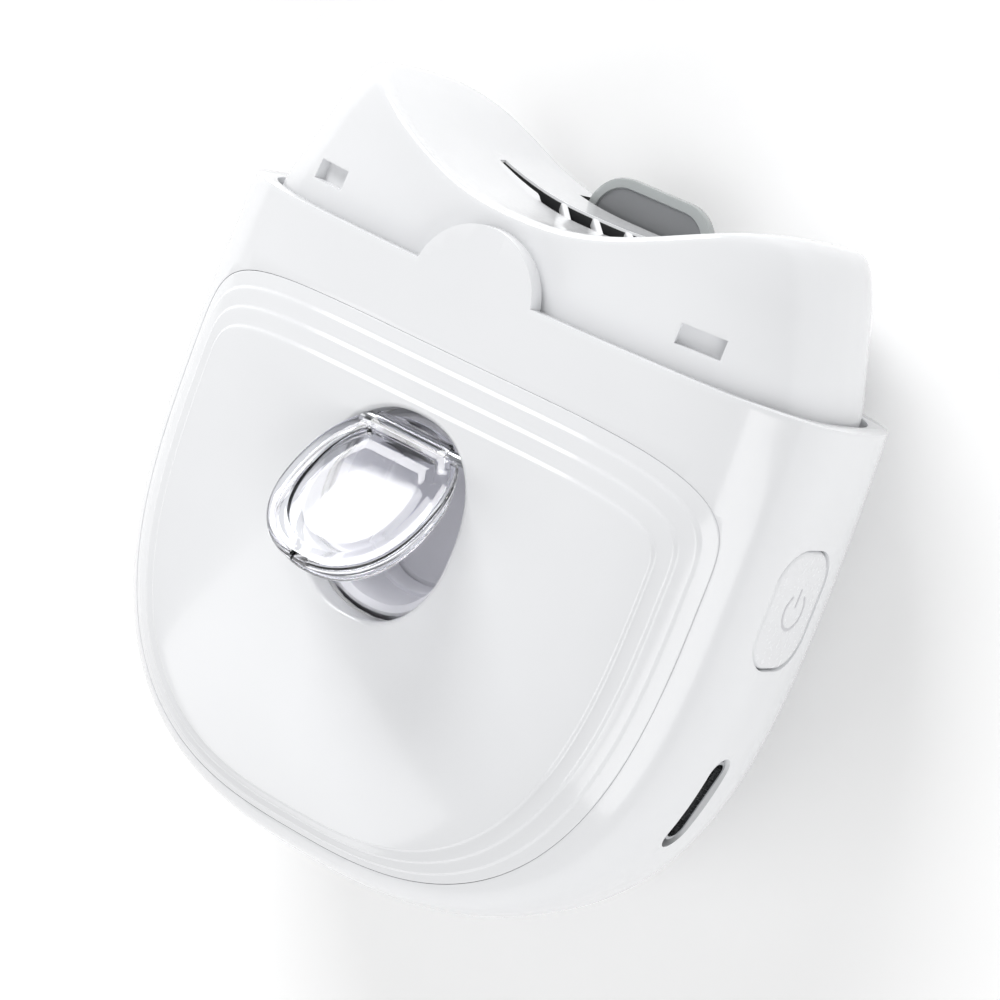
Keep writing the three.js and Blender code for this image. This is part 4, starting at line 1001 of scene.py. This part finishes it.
# ---------------------------------------------------------------- screws
def make_screws():
    """One cross-head screw, copied to its four places."""
    low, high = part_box("rear_screw_1")
    x, y, _ = middle_of(low, high)
    screw = rod("screw", SCREW_HEAD_RADIUS, (x, y, -REST_DEPTH + SCREW_HEAD_FACE), (x, y, -REST_DEPTH + 1.05))
    for half_x, half_y in ((1.1, 0.25), (0.25, 1.1)):
        carve(screw, block("recess", (x - half_x, y - half_y, -REST_DEPTH - 1),
                           (x + half_x, y + half_y, -REST_DEPTH + 0.65)))
    soften(screw, 0.12, 3)
    shank = rod("shank", SHANK_RADIUS, (x, y, -REST_DEPTH + 1.0), (x, y, high.z / MM - REST_DEPTH), 32)
    combine(screw, shank, "UNION")
    for name in REAR_SCREWS:
        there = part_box(name)[0]
        copy = duplicate(screw, name.replace("rear_screw", "cross_screw"))
        copy.data.transform(Matrix.Translation((there.x - low.x, there.y - low.y, 0)))
        dress(copy, "body", "steel", name)
    bpy.data.objects.remove(screw)


make_housing()
make_front_cover()
make_rear_cover()
make_head()
make_ribs()
make_guard()
make_cutter()
make_liner()
make_lid()
make_button()
make_mark()
make_screws()
for name, finish in NODE_FINISH.items():
    nodes[name].data.materials.clear()
    nodes[name].data.materials.append(FINISHES[finish])


# ---------------------------------------------------------------- floor, light and camera
def make_floor():
    """A sheet of pale matt paper, 6 m wide, just under the body."""
    start_fresh()
    bpy.ops.mesh.primitive_plane_add(size=6, location=(0, 0, -0.0002))
    floor = newest("floor")
    material = blank("pale_paper")
    tree = material.node_tree
    place = add(tree, "ShaderNodeTexCoord").outputs["Object"]
    fibre = add(tree, "ShaderNodeTexNoise", {"Scale": 60.0, "Detail": 2.0}, {"Vector": place})
    tone = add(tree, "ShaderNodeMixRGB", {"Color1": linear("#FDFDFD"), "Color2": linear("#FFFFFF")},
               {"Fac": fibre.outputs["Fac"]})
    surface = add(tree, "ShaderNodeBsdfPrincipled", {"Roughness": 0.9, "Specular IOR Level": 0.1},
                  {"Base Color": tone.outputs["Color"]})
    add(tree, "ShaderNodeOutputMaterial", links={"Surface": surface.outputs["BSDF"]})
    floor.data.materials.append(material)


def area_light(name, place, aim, size, power):
    """A lamp at a place in metres, turned to face its aim."""
    start_fresh()
    direction = (Vector(aim) - Vector(place)).to_track_quat("-Z", "Y").to_euler()
    bpy.ops.object.light_add(type="AREA", location=place, rotation=direction)
    light = bpy.context.active_object
    light.name = name
    light.data.shape = "RECTANGLE"
    light.data.size, light.data.size_y = size
    light.data.energy = power


def make_light():
    """Soft white all round, a softbox whose reflection fills the lid's window, and two fills."""
    world = bpy.data.worlds.new("studio")
    bpy.context.scene.world = world
    world.use_nodes = True
    world.node_tree.nodes["Background"].inputs["Color"].default_value = linear("#FFFFFF")
    world.node_tree.nodes["Background"].inputs["Strength"].default_value = 0.54
    area_light("head_softbox", (-0.592, 0.965, 0.6), (-0.193, 0.022, -0.168), (0.64, 0.5), 10.5)
    area_light("button_side_fill", (1.2, -0.5, 0.8), (0, 0, 0.01), (1.0, 1.0), 8)
    area_light("foot_side_fill", (-0.9, -1.1, 1.0), (0, 0, 0.01), (1.2, 1.2), 7)


def make_camera():
    """The camera looks down on the front face from the button's side, rolled."""
    azimuth, elevation = math.radians(CAMERA_AZIMUTH), math.radians(CAMERA_ELEVATION)
    roll = math.radians(CAMERA_ROLL)
    level = math.cos(elevation)
    back = Vector((math.sin(azimuth) * level, math.sin(elevation), math.cos(azimuth) * level))
    right = Vector((0, 1, 0)).cross(back).normalized()
    up = back.cross(right)
    rolled_right = right * math.cos(roll) + up * math.sin(roll)
    rolled_up = up * math.cos(roll) - right * math.sin(roll)
    turn = Matrix((rolled_right, rolled_up, back)).transposed().to_4x4()
    start_fresh()
    bpy.ops.object.camera_add()
    camera = bpy.context.active_object
    camera.matrix_world = Matrix.Translation(at(0, CAMERA_AIM_Y, 0) + back * CAMERA_DISTANCE * MM) @ turn
    camera.data.sensor_width = 36
    camera.data.lens = CAMERA_LENS
    camera.data.shift_x, camera.data.shift_y = CAMERA_SHIFT
    camera.data.clip_start = 0.01
    bpy.context.scene.camera = camera
    bpy.context.scene.view_settings.view_transform = "Standard"


make_floor()
make_light()
make_camera()
